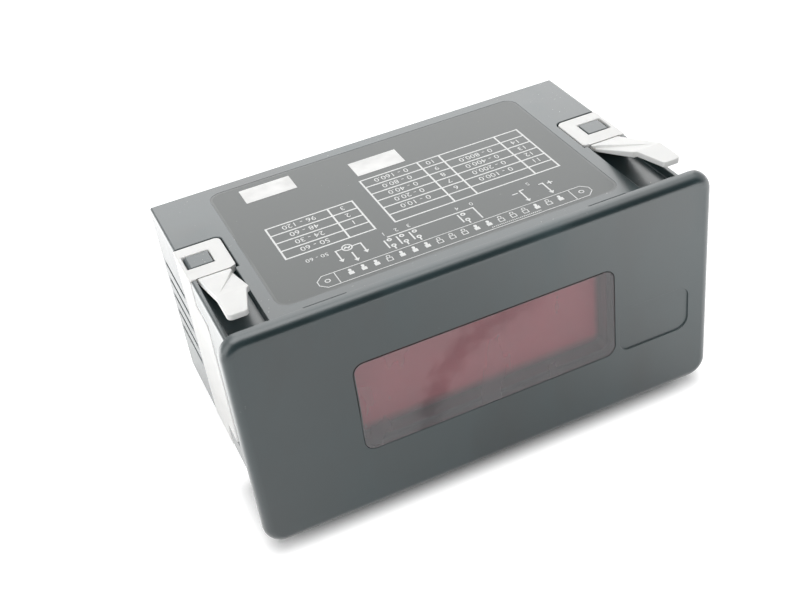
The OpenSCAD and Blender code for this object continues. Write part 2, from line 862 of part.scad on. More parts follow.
module main_board() {
    color("#2f6b45") difference() {
        span_box([-main_x, main_y, board_under], [main_x, main_end, board_z]);
        for (k = [0 : link_pins - 1]) board_hole(link_pin_x(k), link_tail_y, lead);
        for (i = [0 : pole_count - 1]) board_hole(pole_x(i), pin_y + pin_side / 2, pin_side);
        for (row = [-1, 1], k = [0 : chip_pins - 1])
            board_hole(chip_pin_x(k), chip_y + row * chip_rows / 2, chip_leg_w);
        for (x = bobbin_pin_x, row = [-1, 1])
            board_hole(core_x + x, core_y + row * foot_y, lead);
        lead_holes(smooth_x, smooth_y, smooth_pitch);
        lead_holes(filter_x, power_y, filter_pitch);
        lead_holes(bridge_x, power_y, power_pitch);
        lead_holes(regulator_x, power_y, power_pitch);
        for (i = [0 : resistor_count - 1]) lead_holes(resistor_x(i), resistor_y, resistor_pitch);
        for (i = [0 : film_count - 1]) lead_holes(film_x, film_y(i), film_pitch);
    }
}

module converter_chip() {
    leg_x = chip_leg_w / 2;
    leg_end = chip_rows / 2 + chip_leg_w / 2;
    leg_z = chip_z + chip_h / 2;
    color("#26282a") difference() {
        span_box([chip_x - chip_w / 2, chip_y - chip_d / 2, chip_z],
                 [chip_x + chip_w / 2, chip_y + chip_d / 2, chip_z + chip_h]);
        translate([chip_x - chip_w / 2, chip_y, chip_z + chip_h - 0.6]) cylinder(h = 1, r = 1.5);
    }
    color("#c8c8c8") for (side = [0, 1], k = [0 : chip_pins - 1])
        translate([chip_pin_x(k), chip_y, 0]) mirror([0, side, 0]) {
            span_box([-leg_x, chip_d / 2 - 0.1, leg_z - chip_leg_t],
                     [leg_x, leg_end, leg_z]);
            span_box([-leg_x, leg_end - chip_leg_w, lead_end], [leg_x, leg_end, leg_z]);
        }
}

module transformer_core() {
    color("#6d6f73") translate([core_x, core_y - core_t / 2, core_z0]) difference() {
        translate([-core_w / 2, 0, 0]) cube([core_w, core_t, core_h]);
        for (s = [-1, 1])
            translate([s * (leg_w + window_core_w) / 2 - window_core_w / 2, -1, yoke_h])
                cube([window_core_w, core_t + 2, coil_h]);
    }
}

module transformer_bobbin() {
    tube_t = 0.9;
    tube_x = leg_w / 2 + tube_t;
    tube_y = core_t / 2 + tube_t;
    bore_x = leg_w / 2 + 2 * bobbin_play;
    bore_y = core_t / 2 + 2 * bobbin_play;
    color("#d8d2bd") difference() {
        union() {
            for (z = [bobbin_z0, bobbin_z1 - bobbin_t])
                span_box([core_x - bobbin_w / 2, core_y - coil_d / 2, z],
                         [core_x + bobbin_w / 2, core_y + coil_d / 2, z + bobbin_t]);
            span_box([core_x - tube_x, core_y - tube_y, bobbin_z0],
                     [core_x + tube_x, core_y + tube_y, bobbin_z1]);
            // feet that stand on the board
            for (row = [-1, 1])
                span_box([core_x - bobbin_w / 2, core_y + row * foot_y - foot_d / 2, board_z],
                         [core_x + bobbin_w / 2, core_y + row * foot_y + foot_d / 2,
                          bobbin_z0 + eps]);
        }
        span_box([core_x - bore_x, core_y - bore_y, core_z0 - 1],
                 [core_x + bore_x, core_y + bore_y, core_z0 + core_h]);
    }
    color("#c8c8c8") for (x = bobbin_pin_x, row = [-1, 1])
        translate([core_x + x - lead / 2, core_y + row * foot_y - lead / 2, lead_end])
            cube([lead, lead, lead_tail + pcb_t + 1]);
}

module transformer_coil() {
    z0 = bobbin_z0 + bobbin_t;
    z1 = bobbin_z1 - bobbin_t;
    color("#c98f3c") translate([core_x, core_y, z0]) linear_extrude(z1 - z0) difference() {
        round_rect(bobbin_w - 0.6, coil_d - 1, 1.6);
        square([leg_w + 1.8, core_t + 1.8], center = true);
    }
}

// An upright electrolytic can with a crimp groove and a vent cross
module can(x, y, r, h, pitch) {
    crimp = 0.5;
    groove_z = 2.4;
    difference() {
        translate([x, y, board_z]) rotate_extrude()
            polygon([
                [0, 0], [r - crimp, 0], [r, crimp], [r, groove_z - 0.6], [r - crimp, groove_z],
                [r, groove_z + 0.6], [r, h - crimp], [r - crimp, h], [0, h]
            ]);
        for (a = [0, 90])
            translate([x, y, board_z + h]) rotate([0, 0, a])
                cube([1.3 * r, 0.4, 0.3], center = true);
    }
    leads(x, y, pitch, board_z);
}

module smoothing_capacitor() {
    color("#2c4a7c") can(smooth_x, smooth_y, smooth_r, smooth_h, smooth_pitch);
}

module filter_capacitor() {
    color("#2c4a7c") can(filter_x, power_y, filter_r, filter_h, filter_pitch);
}

// The moulded body of a power part that stands on two leads
module power_body(x, h) {
    span_box([x - power_w / 2, power_y - power_t / 2, board_z + power_foot],
             [x + power_w / 2, power_y + power_t / 2, board_z + power_foot + h]);
}

module bridge_rectifier() {
    top = board_z + power_foot + bridge_h;
    color("#242424") difference() {
        power_body(bridge_x, bridge_h);
        translate([bridge_x + power_w / 2, power_y, top]) rotate([0, 45, 0])
            cube([2, power_t + 1, 2], center = true);
    }
    color("#c8c8c8") leads(bridge_x, power_y, power_pitch, board_z + power_foot);
}

module voltage_regulator() {
    tab_t = 1.2;
    tab_y = power_y + power_t / 2;
    tab_top = board_z + power_foot + tab_h;
    hole_z = (board_z + power_foot + regulator_h + tab_top) / 2;
    color("#242424") power_body(regulator_x, regulator_h);
    color("#b9bcc0") difference() {
        span_box([regulator_x - power_w / 2, tab_y - eps, board_z + power_foot],
                 [regulator_x + power_w / 2, tab_y + tab_t, tab_top]);
        rod_y(regulator_x, hole_z, tab_y - 1, tab_t + 2, 1.8);
    }
    color("#c8c8c8") leads(regulator_x, power_y, power_pitch, board_z + power_foot);
}

// Axial resistors lying on the board, their leads bent down through it
module input_resistors() {
    z = board_z + resistor_r;
    cap = resistor_len / 4;
    for (i = [0 : resistor_count - 1]) {
        color("#cbb488") translate([resistor_x(i) - resistor_len / 2, resistor_y, z])
            rotate([0, 90, 0]) {
                cylinder(h = resistor_len, r = resistor_r * 0.85);
                cylinder(h = cap, r = resistor_r);
                translate([0, 0, resistor_len - cap]) cylinder(h = cap, r = resistor_r);
            }
        color("#c8c8c8") {
            translate([resistor_x(i) - resistor_pitch / 2, resistor_y, z]) rotate([0, 90, 0])
                cylinder(h = resistor_pitch, r = lead / 2);
            for (s = [-1, 1])
                translate([resistor_x(i) + s * resistor_pitch / 2, resistor_y, lead_end])
                    cylinder(h = z - lead_end, r = lead / 2);
        }
    }
}

module film_capacitors() {
    for (i = [0 : film_count - 1]) {
        color("#9c4a2c") span_box([film_x - film_w / 2, film_y(i) - film_t / 2, board_z],
                                  [film_x + film_w / 2, film_y(i) + film_t / 2, board_z + film_h]);
        color("#c8c8c8") leads(film_x, film_y(i), film_pitch, board_z);
    }
}

// ---------------------------------------------------------------- terminals

module terminal_header() {
    z0 = board_z;
    z1 = board_z + header_h;
    color("#2f7d4a") difference() {
        span_box([-header_x, header_y, z0], [header_x, case_d, z1]);
        span_box([-plug_in_x - plug_play, header_y + header_back, header_z - plug_in_h / 2 - plug_play],
                 [plug_in_x + plug_play, case_d + 1, header_z + plug_in_h / 2 + plug_play]);
        for (i = [0 : pole_count - 1])
            translate([pole_x(i), header_y - 1, header_z]) rotate([-90, 0, 0])
                linear_extrude(header_back + 2) square(pin_side + 2 * pin_play, center = true);
        for (s = [-1, 1]) {
            rod_y(s * ear_x, header_z, header_y + 1, header_d, flange_screw_r + 0.3);
            translate([s * ear_x, nut_y + nut_t / 2, header_z + 1])
                cube([nut_side + 2 * seat_play, nut_t + 2 * seat_play, nut_side + 2.1],
                     center = true);
        }
    }
}

module header_pins() {
    color("#c9b46a") for (i = [0 : pole_count - 1]) translate([pole_x(i), 0, 0]) {
        span_box([-pin_side / 2, pin_y, header_z - pin_side / 2],
                 [pin_side / 2, case_d - 1.5, header_z + pin_side / 2]);
        span_box([-pin_side / 2, pin_y, lead_end - 0.4],
                 [pin_side / 2, pin_y + pin_side, header_z]);
    }
}

module header_nuts() {
    color("#c9a24a") for (s = [-1, 1]) difference() {
        translate([s * ear_x, nut_y + nut_t / 2, header_z])
            cube([nut_side, nut_t, nut_side], center = true);
        rod_y(s * ear_x, header_z, nut_y - 1, nut_t + 2, flange_screw_r + thread_play + 0.02);
    }
}

module terminal_plug() {
    clamp_hole = clamp_w + 2 * seat_play;
    socket_hole = socket_side + 2 * seat_play;
    color("#2f7d4a") difference() {
        union() {
            span_box([-plug_in_x, header_y + header_back + 0.4, header_z - plug_in_h / 2],
                     [plug_in_x, plug_y + eps, header_z + plug_in_h / 2]);
            span_box([-header_x, plug_y, plug_z0], [header_x, plug_end, plug_z0 + plug_h]);
        }
        for (i = [0 : pole_count - 1]) translate([pole_x(i), 0, 0]) {
            // wire entry, screw well, clamp chamber and pin socket of one pole
            span_box([-entry_w / 2, clamp_y, entry_z - entry_h / 2],
                     [entry_w / 2, plug_end + 1, entry_z + entry_h / 2]);
            rod_y(0, screw_z, clamp_y, plug_d + 1, well_r);
            span_box([-clamp_hole / 2, clamp_y - seat_play, clamp_z0 - seat_play],
                     [clamp_hole / 2, clamp_y + clamp_d + seat_play, clamp_z1 + seat_play]);
            span_box([-socket_hole / 2, header_y, header_z - socket_hole / 2],
                     [socket_hole / 2, clamp_y, header_z + socket_hole / 2]);
        }
        for (s = [-1, 1]) {
            rod_y(s * ear_x, header_z, plug_y - 1, plug_d + 2,
                  flange_screw_r + thread_play + 0.02);
            rod_y(s * ear_x, header_z, plug_end - screw_head_sink, screw_head_sink + 1,
                  screw_head_r + 0.2);
        }
    }
}

// Brass clamp of one pole: a cage with a wire window and a screw hole, and the pin's socket
module terminal_clamps() {
    bore = pin_side + 0.2;
    color("#c9a24a") for (i = [0 : pole_count - 1]) translate([pole_x(i), 0, 0]) difference() {
        union() {
            span_box([-clamp_w / 2, clamp_y, clamp_z0], [clamp_w / 2, clamp_y + clamp_d, clamp_z1]);
            span_box([-socket_side / 2, header_y + header_back + 0.8, header_z - socket_side / 2],
                     [socket_side / 2, clamp_y + eps, header_z + socket_side / 2]);
        }
        span_box([-bore / 2, header_y, header_z - bore / 2],
                 [bore / 2, clamp_y - 0.5, header_z + bore / 2]);
        span_box([-entry_w / 2 + 0.15, clamp_y + 0.6, entry_z - entry_h / 2 + 0.1],
                 [entry_w / 2 - 0.15, clamp_y + clamp_d + 1, entry_z + entry_h / 2 - 0.1]);
        rod_y(0, screw_z, clamp_y + 0.4, clamp_d, terminal_screw_r + thread_play);
    }
}

module terminal_screws() {
    head_y = clamp_y + clamp_d + 1.4;
    head_len = 1.6;
    color("#b9bcc0") for (i = [0 : pole_count - 1]) difference() {
        union() {
            rod_y(pole_x(i), screw_z, clamp_y + 0.8, head_y - clamp_y - 0.8 + eps,
                  terminal_screw_r);
            rod_y(pole_x(i), screw_z, head_y, head_len, terminal_head_r);
        }
        translate([pole_x(i), head_y + head_len, screw_z]) rotate([0, 20 * (i % 3 - 1), 0])
            cube([3 * terminal_head_r, 1.4, 0.45], center = true);
    }
}

module flange_screw(s) {
    head_y = plug_end - screw_head_sink + 0.2;
    color("#b9bcc0") difference() {
        union() {
            rod_y(s * ear_x, header_z, nut_y - 0.6, head_y - nut_y + 0.6 + eps, flange_screw_r);
            rod_y(s * ear_x, header_z, head_y, screw_head_len, screw_head_r);
        }
        translate([s * ear_x, head_y + screw_head_len, header_z])
            cube([3 * screw_head_r, 1.8, 0.6], center = true);
    }
}

module left_flange_screw() {
    flange_screw(-1);
}

module right_flange_screw() {
    flange_screw(1);
}

front_bezel();
display_window();
red_filter();
case_shell();
top_label();
left_bracket();
right_bracket();
left_upper_tongue();
left_lower_tongue();
right_upper_tongue();
right_lower_tongue();
led_digit_1();
led_digit_2();
led_digit_3();
led_digit_4();
digit_segments();
display_board();
display_board_screws();
board_link();
main_board();
converter_chip();
transformer_core();
transformer_bobbin();
transformer_coil();
smoothing_capacitor();
filter_capacitor();
bridge_rectifier();
voltage_regulator();
input_resistors();
film_capacitors();
terminal_header();
header_pins();
header_nuts();
terminal_plug();
terminal_clamps();
terminal_screws();
left_flange_screw();
right_flange_screw();
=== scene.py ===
"""Dresses a 96 x 48 mm panel meter: its mouldings, window, printed label, brackets, boards and terminals."""

import json
import math

import bmesh
import bpy
from bpy.props import FloatProperty, FloatVectorProperty, IntProperty, PointerProperty
from mathutils import Matrix, Quaternion, Vector

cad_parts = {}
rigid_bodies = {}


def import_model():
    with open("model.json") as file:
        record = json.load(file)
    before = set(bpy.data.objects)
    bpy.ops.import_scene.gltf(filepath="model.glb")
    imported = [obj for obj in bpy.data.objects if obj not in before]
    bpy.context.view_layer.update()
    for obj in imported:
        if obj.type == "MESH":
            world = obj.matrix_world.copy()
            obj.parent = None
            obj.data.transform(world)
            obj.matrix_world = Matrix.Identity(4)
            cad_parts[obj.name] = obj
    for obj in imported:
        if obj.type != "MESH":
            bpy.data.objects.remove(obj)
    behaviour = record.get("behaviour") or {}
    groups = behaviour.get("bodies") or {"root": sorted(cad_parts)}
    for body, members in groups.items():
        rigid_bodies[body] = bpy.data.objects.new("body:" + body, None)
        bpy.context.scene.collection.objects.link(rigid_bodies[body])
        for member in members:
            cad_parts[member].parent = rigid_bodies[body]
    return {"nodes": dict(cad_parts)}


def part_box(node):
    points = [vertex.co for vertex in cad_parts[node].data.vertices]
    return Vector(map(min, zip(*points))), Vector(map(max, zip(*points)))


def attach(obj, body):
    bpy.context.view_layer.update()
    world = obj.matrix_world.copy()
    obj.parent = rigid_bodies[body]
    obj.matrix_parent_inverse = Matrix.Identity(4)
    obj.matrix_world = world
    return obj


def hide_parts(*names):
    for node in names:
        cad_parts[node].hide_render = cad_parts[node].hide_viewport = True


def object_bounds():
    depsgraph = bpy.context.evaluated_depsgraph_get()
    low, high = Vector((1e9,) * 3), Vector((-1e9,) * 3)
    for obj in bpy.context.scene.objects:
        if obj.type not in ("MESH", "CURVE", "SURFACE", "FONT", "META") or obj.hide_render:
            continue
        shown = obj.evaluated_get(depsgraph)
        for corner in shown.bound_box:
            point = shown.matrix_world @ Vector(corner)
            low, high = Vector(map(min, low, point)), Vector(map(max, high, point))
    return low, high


bl_info = {
    "name": "Panel Meter",
    "version": (1, 0, 0),
    "blender": (4, 5, 0),
    "location": "View3D > Sidebar > Panel Meter",
    "description": "Dresses a snap-in panel meter with its finishes, printed label and stage",
    "category": "Object",
}

MM = 0.001
# Least width of a face that is shaded flat
WIDE = 0.8 * MM
# Cosine of the turn past which a narrow face doesn't bend towards its neighbour
STEEP = math.cos(math.radians(55.0))
# Share of a face's width that a bevel may take
BEVEL_SHARE = 0.42
# Turns, in degrees: a sharper edge is broken, and faces that turn by less are one flat
CREASE = 28.0
LEVEL = 0.3
# Distance within which corners are one
WELD = 0.02 * MM
# Least cosine that a mitred corner is drawn with
MITRE = 0.35
# Height of a figure as a share of its font's size
FIGURE_SHARE = 0.73
# Radius of the label's corners, and its play in its recess
LABEL_CORNER = 2.5 * MM
LABEL_PLAY = 0.1 * MM
DUST = (0.50, 0.50, 0.48)

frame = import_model()
cad_box = [list(corner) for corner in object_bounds()]


# -------- sizes and colours


def colour_field(name, description, default):
    return FloatVectorProperty(name=name, description=description, subtype="COLOR", size=3,
                               default=default, min=0.0, max=1.0)


def length_field(name, description, default, low, high):
    """A length, given here in millimetres."""
    return FloatProperty(name=name, description=description, subtype="DISTANCE", unit="LENGTH",
                         default=default * MM, min=low * MM, max=high * MM)


class MeterFinish(bpy.types.PropertyGroup):
    """Colours and softness of the mouldings."""

    shell_colour: colour_field("Shell", "Dark plastic of the bezel and case", (0.014, 0.031, 0.035))
    label_colour: colour_field("Label film", "Ground of the printed label", (0.024, 0.033, 0.031))
    bracket_colour: colour_field("Brackets", "Natural white plastic of the brackets", (0.88, 0.88, 0.865))
    ink_colour: colour_field("Ink", "White print on the label", (0.86, 0.87, 0.86))
    filter_colour: colour_field("Filter", "Red filter behind the window", (0.70, 0.13, 0.17))
    edge_round: length_field("Edge rounding", "Radius broken on the mouldings' edges", 0.22, 0.05, 0.5)


class LabelLayout(bpy.types.PropertyGroup):
    """Sizes of the print on the label."""

    ink_height: length_field("Ink height", "How far the print stands on the film", 0.015, 0.005, 0.05)
    rule_width: length_field("Rule width", "Width of the tables' lines", 0.36, 0.1, 0.6)
    thin_width: length_field("Thin line", "Width of the terminal strip's outline", 0.17, 0.08, 0.4)
    row_pitch: length_field("Row pitch", "Height of one row of a table", 2.93, 2, 4)
    mark_count: IntProperty(
        name="Terminals", description="Terminals drawn on the strip", default=18, min=2, max=24)
    mark_pitch: length_field("Terminal pitch", "Distance between the drawn terminals", 2.512, 1.5, 4)


def finish_values():
    return bpy.context.scene.meter_finish


def layout_values():
    return bpy.context.scene.meter_label


# -------- shader writing


class Value:
    """A number from the shader tree: each operation on it adds one Math node."""

    def __init__(self, recipe, socket):
        self.recipe = recipe
        self.socket = socket

    def _math(self, operation, *terms):
        return self.recipe.node("ShaderNodeMath", {"operation": operation}, *terms).value("Value")

    def __add__(self, other):
        return self._math("ADD", self, other)

    def __radd__(self, other):
        return self._math("ADD", other, self)

    def __sub__(self, other):
        return self._math("SUBTRACT", self, other)

    def __rsub__(self, other):
        return self._math("SUBTRACT", other, self)

    def __mul__(self, other):
        return self._math("MULTIPLY", self, other)

    def __rmul__(self, other):
        return self._math("MULTIPLY", other, self)

    def __neg__(self):
        return self._math("SUBTRACT", 0.0, self)

    def at_least(self, other):
        return self._math("MAXIMUM", self, other)

    def root(self):
        return self._math("SQRT", self)

    def above(self, limit):
        return self._math("GREATER_THAN", self, limit)

    def below(self, limit):
        return self._math("LESS_THAN", self, limit)

    def absolute(self):
        return self._math("ABSOLUTE", self)

    def remainder(self, step):
        return self._math("FLOORED_MODULO", self, step)


class Made:
    """A node that has been placed in a tree, and its outputs."""

    def __init__(self, recipe, item):
        self.recipe = recipe
        self.item = item

    def value(self, name):
        return Value(self.recipe, self.item.outputs[name])

    def out(self, name=0):
        return self.item.outputs[name]


class Recipe:
    """One material, or the world, under construction."""

    def __init__(self, name, world=False):
        self.world = world
        self.made = (bpy.data.worlds if world else bpy.data.materials).new(name)
        self.made.use_nodes = True
        self.tree = self.made.node_tree
        self.tree.nodes.clear()
        self.place = self.node("ShaderNodeTexCoord").out("Generated" if world else "Object")

    def node(self, kind, settings=None, *terms, **sockets):
        """Adds a node: its settings first, then its sockets by place or by name."""
        item = self.tree.nodes.new(kind)
        for key, setting in (settings or {}).items():
            if key == "stops":
                self._stops(item.color_ramp, setting)
            else:
                setattr(item, key, setting)
        for index, term in enumerate(terms):
            self.feed(item.inputs[index], term)
        for key, term in sockets.items():
            self.feed(item.inputs[key.replace("_", " ")], term)
        return Made(self, item)

    def feed(self, socket, term):
        """Links a socket to a node's output, or sets its value: a colour's has three parts."""
        if isinstance(term, Value):
            term = term.socket
        if isinstance(term, bpy.types.NodeSocket):
            self.tree.links.new(term, socket)
        elif socket.type == "RGBA":
            socket.default_value = (*term, 1.0)
        else:
            socket.default_value = term

    @staticmethod
    def _stops(ramp, stops):
        while len(ramp.elements) < len(stops):
            ramp.elements.new(1.0)
        for element, (position, colour) in zip(ramp.elements, stops):
            element.position = position
            element.color = (*colour, 1.0)

    def noise(self, cell, detail=2.0, place=None):
        """Cloudy noise whose features are about one cell, in metres, across."""
        return self.node("ShaderNodeTexNoise", None, Vector=place or self.place, Scale=1.0 / cell,
                         Detail=detail).value("Fac")

    def stretched(self, scale, turn=(0.0, 0.0, 0.0)):
        """Object coordinates, turned and then scaled along each axis."""
        return self.node("ShaderNodeMapping", None, Vector=self.place, Scale=scale, Rotation=turn).out()

    def between(self, number, low, high):
        """number clamped from low..high to 0..1."""
        return self.node("ShaderNodeMapRange", {"clamp": True}, Value=number, From_Min=low,
                         From_Max=high).value("Result")

    def mix(self, share, first, second):
        """The first colour, going to the second as share goes to 1."""
        made = self.node("ShaderNodeMix", {"data_type": "RGBA"})
        inputs = made.item.inputs
        self.feed(inputs[0], share)
        self.feed(inputs[6], first)
        self.feed(inputs[7], second)
        return made.item.outputs[2]

    def mottled(self, cloud, colour, dark, light):
        """A colour that clouds between two shades of it."""
        return self.mix(self.between(cloud, 0.3, 0.7), shade(colour, dark), shade(colour, light))

    def bump(self, height, depth, strength=1.0):
        """A normal for a height that runs from 0 to 1 over depth, in metres."""
        return self.node("ShaderNodeBump", None, Strength=strength, Distance=depth,
                         Height=height).out("Normal")

    def axes(self):
        """The place's three coordinates, as numbers."""
        split = self.node("ShaderNodeSeparateXYZ", None, Vector=self.place)
        return split.value("X"), split.value("Y"), split.value("Z")

    def close(self, surface):
        """Ends the tree with its output, fed by a shader."""
        kind = "ShaderNodeOutputWorld" if self.world else "ShaderNodeOutputMaterial"
        self.node(kind, None, Surface=surface)
        return self.made

    def rim(self, across, up, half_width, half_height, radius, band, blur):
        """1 in a band along the edge of a rounded rectangle, and 0 inside it."""
        east = (across.absolute() - (half_width - radius)).at_least(0.0)
        north = (up.absolute() - (half_height - radius)).at_least(0.0)
        return self.between(length_of(east, north), radius - band - blur, radius - band)

    def finish(self, **sockets):
        """Closes the material with a Principled BSDF that has these sockets."""
        return self.close(self.node("ShaderNodeBsdfPrincipled", None, **sockets).out("BSDF"))


def shade(colour, factor):
    return tuple(min(1.0, part * factor) for part in colour)


def length_of(across, up):
    """The length of a line that reaches this far across and this far up."""
    return (across * across + up * up).root()


def middle_and_half(box):
    """The middle of a box, and half of its size."""
    lowest, highest = box
    return (lowest + highest) / 2, (highest - lowest) / 2


# -------- finishes


def shell_plastic(name, colour, roughness, grain_depth, clean):
    """Dark moulded plastic, grained, clouded and handled, with less dust the higher clean is."""
    r = Recipe(name)
    grain = r.noise(0.00016, detail=1.0)
    cloud = r.noise(0.030, detail=3.0)
    wipe = r.noise(0.011, detail=4.0, place=r.stretched((1.0, 1.0, 0.35), (0.0, 0.5, 0.0)))
    wipe = r.between(wipe, 0.52, 0.72)
    dusty = r.between(r.noise(0.009), clean, clean + 0.12)
    dust = r.between(r.noise(0.00055), 0.70, 0.76) * dusty
    streak = r.noise(0.028, detail=3.0, place=r.stretched((1.0, 1.0, 0.4), (0.0, 0.6, 0.0)))
    tone = r.mottled(cloud, colour, 0.8, 1.2)
    tone = r.mix(r.between(streak, 0.52, 0.68) * 0.8, tone, shade(colour, 0.5))
    tone = r.mix(wipe * 0.35, tone, shade(colour, 1.7))
    tone = r.mix(dust * 0.8, tone, DUST)
    rough = roughness + 0.10 * wipe + 0.06 * (cloud - 0.5) + 0.04 * grain
    return r.finish(Base_Color=tone, Roughness=rough, Coat_Weight=0.9, Coat_Roughness=0.22,
                    IOR=1.58, Normal=r.bump(grain, grain_depth))


def label_film(name, colour):
    """Printed polyester film: even, satin, its cut edge pale, with the faint peel of its glue."""
    r = Recipe(name)
    x, y, _ = r.axes()
    middle, half = middle_and_half(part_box("top_label"))
    edge = r.rim(x - middle.x, y - middle.y, half.x, half.y, LABEL_CORNER, 0.30 * MM, 0.12 * MM)
    peel = r.noise(0.0016, detail=1.0)
    cloud = r.noise(0.020, detail=3.0)
    specks = r.between(r.noise(0.0005), 0.745, 0.80) * 0.35
    tone = r.mottled(cloud, colour, 0.9, 1.1)
    tone = r.mix(specks, tone, DUST)
    tone = r.mix(edge * r.between(cloud, 0.35, 0.65) * 0.5, tone, (0.16, 0.165, 0.165))
    return r.finish(Base_Color=tone, Roughness=0.34 + 0.08 * cloud, Coat_Weight=0.55,
                    Coat_Roughness=0.28, IOR=1.50, Normal=r.bump(peel, 0.000004, 0.6))


def bracket_plastic(name, colour):
    """Natural white acetal: satin, faintly mottled, with fine drag marks from the mould."""
    r = Recipe(name)
    grain = r.noise(0.00025, detail=1.0)
    drag = r.noise(0.0012, place=r.stretched((1.0, 0.12, 1.0)))
    cloud = r.noise(0.006)
    tone = r.mottled(cloud, colour, 0.965, 1.02)
    rough = 0.40 + 0.10 * drag
    return r.finish(Base_Color=tone, Roughness=rough, IOR=1.48, Subsurface_Weight=0.08,
                    Subsurface_Radius=(0.0012, 0.0011, 0.0010), Subsurface_Scale=1.0,
                    Normal=r.bump(grain, 0.000006, 0.7))


def window_plastic(name):
    """Smoked clear sheet: a hazy face with a wiped arc, and a line of painted shade round its edge, fainter
    towards the lower left.
    """
    r = Recipe(name)
    x, y, z = r.axes()
    middle, half = middle_and_half(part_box("display_window"))
    arc_x, arc_z, arc_radius, waver = 6.0 * MM, -10.0 * MM, 19.3 * MM, 8.0 * MM
    smear = r.noise(0.012, detail=4.0, place=r.stretched((1.0, 1.0, 0.45), (0.0, 0.6, 0.0)))
    fine = r.noise(0.0022, detail=4.0)
    swing = (length_of(x - arc_x, z - arc_z) - arc_radius).absolute()
    wiped = 1.0 - r.between(swing + (fine - 0.5) * waver, 0.6 * MM, 3.6 * MM)
    wiped = wiped * r.between(z - 0.9 * x, -4.0 * MM, 6.0 * MM)
    haze = (0.86 + 0.28 * smear) * (1.0 + 0.14 * wiped)
    front = r.between(-y, 2.30 * MM, 2.55 * MM)
    fleck = r.between(r.noise(0.0005), 0.75, 0.79)
    # painted shade: a dark line round the sheet's edge for the shaded gap to the bezel, fainter towards the
    # lower left
    edge = r.rim(x - middle.x, z - middle.z, half.x, half.z, 2.2 * MM, 0.10 * MM, 0.10 * MM)
    upper = r.between(z - middle.z + 0.2 * (x - middle.x), -11.0 * MM, -5.0 * MM)
    line = edge * (0.35 + 0.65 * upper)
    tone = r.mix(wiped, (0.345, 0.335, 0.345), (0.195, 0.175, 0.185))
    tone = r.mix(fleck * 0.5, tone, (0.7, 0.7, 0.68))
    # the painted shade line, mixed in near black
    tone = r.mix(line, tone, (0.012, 0.012, 0.013))
    return r.finish(Base_Color=tone, Roughness=0.24 + 0.12 * smear, IOR=1.49,
                    Alpha=front * (0.46 * haze + 0.3 * fleck + 0.6 * line))


def filter_sheet(name, colour):
    """Red filter sheet, even and slightly satin, its lower and right edges darkened with painted shade."""
    r = Recipe(name)
    x, _, z = r.axes()
    lowest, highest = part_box("red_filter")
    cloud = r.noise(0.008)
    # painted shade mask: 1 away from the lower and right edges, falling to 0 at them
    outside_painted_shade = r.between(z - lowest.z, 0.4 * MM, 3.2 * MM) * r.between(highest.x - x, 0.6 * MM, 2.2 * MM)
    tone = r.mottled(cloud, colour, 0.94, 1.06)
    # painted shade: the filter fades to dark grey towards its lower and right edges
    tone = r.mix(outside_painted_shade, (0.10, 0.085, 0.085), tone)
    return r.finish(Base_Color=tone, Roughness=0.30 + 0.05 * cloud, IOR=1.50)


def ink(name, colour):
    """Screen-printed ink, a little uneven in cover."""
    r = Recipe(name)
    cover = r.noise(0.00035)
    tone = r.mix(r.between(cover, 0.35, 0.75), colour, shade(colour, 0.90))
    return r.finish(Base_Color=tone, Roughness=0.45 + 0.1 * cover, IOR=1.48)


def plain_plastic(name, colour, roughness):
    """A small moulding with fine grain and soft clouding."""
    r = Recipe(name)
    grain = r.noise(0.0003, detail=1.0)
    cloud = r.noise(0.004)
    tone = r.mottled(cloud, colour, 0.9, 1.1)
    return r.finish(Base_Color=tone, Roughness=roughness + 0.06 * cloud, IOR=1.50,
                    Normal=r.bump(grain, 0.000006, 0.7))


def metal(name, colour, roughness, along=(1.0, 1.0, 0.1)):
    """Plated or bare metal with fine draw lines along one axis."""
    r = Recipe(name)
    lines = r.noise(0.00012, place=r.stretched(along))
    cloud = r.noise(0.002)
    tone = r.mottled(cloud, colour, 0.86, 1.08)
    return r.finish(Base_Color=tone, Metallic=1.0, Roughness=roughness + 0.12 * lines,
                    Normal=r.bump(lines, 0.000003, 0.6))


def circuit_board(name, colour, copper_axis):
    """Green solder mask over copper tracks that run along one axis."""
    r = Recipe(name)
    x, _, z = r.axes()
    across, stretch = (x, (1.0, 0.08, 1.0)) if copper_axis == "Y" else (z, (0.08, 1.0, 1.0))
    track = r.noise(0.0028, detail=0.0, place=r.stretched(stretch))
    lane = (across * (1.0 / (1.27 * MM))).remainder(1.0).below(0.42)
    copper = lane * track.above(0.50)
    tone = r.mix(copper, colour, shade(colour, 1.55))
    return r.finish(Base_Color=tone, Roughness=0.30, Coat_Weight=0.4, Coat_Roughness=0.12, IOR=1.5,
                    Normal=r.bump(copper, 0.00003, 0.8))


def laminated_steel(name, colour, sheet):
    """Varnished transformer laminations, one line per sheet through the stack."""
    r = Recipe(name)
    _, y, _ = r.axes()
    seam = (y * (1.0 / sheet)).remainder(1.0).below(0.22)
    stain = r.noise(0.003, detail=3.0)
    tone = r.mix(seam, colour, shade(colour, 0.45))
    tone = r.mix(r.between(stain, 0.55, 0.75) * 0.5, tone, (0.12, 0.075, 0.045))
    return r.finish(Base_Color=tone, Metallic=0.7, Roughness=0.38 + 0.15 * stain,
                    Normal=r.bump(1.0 - seam, 0.00004, 0.8))


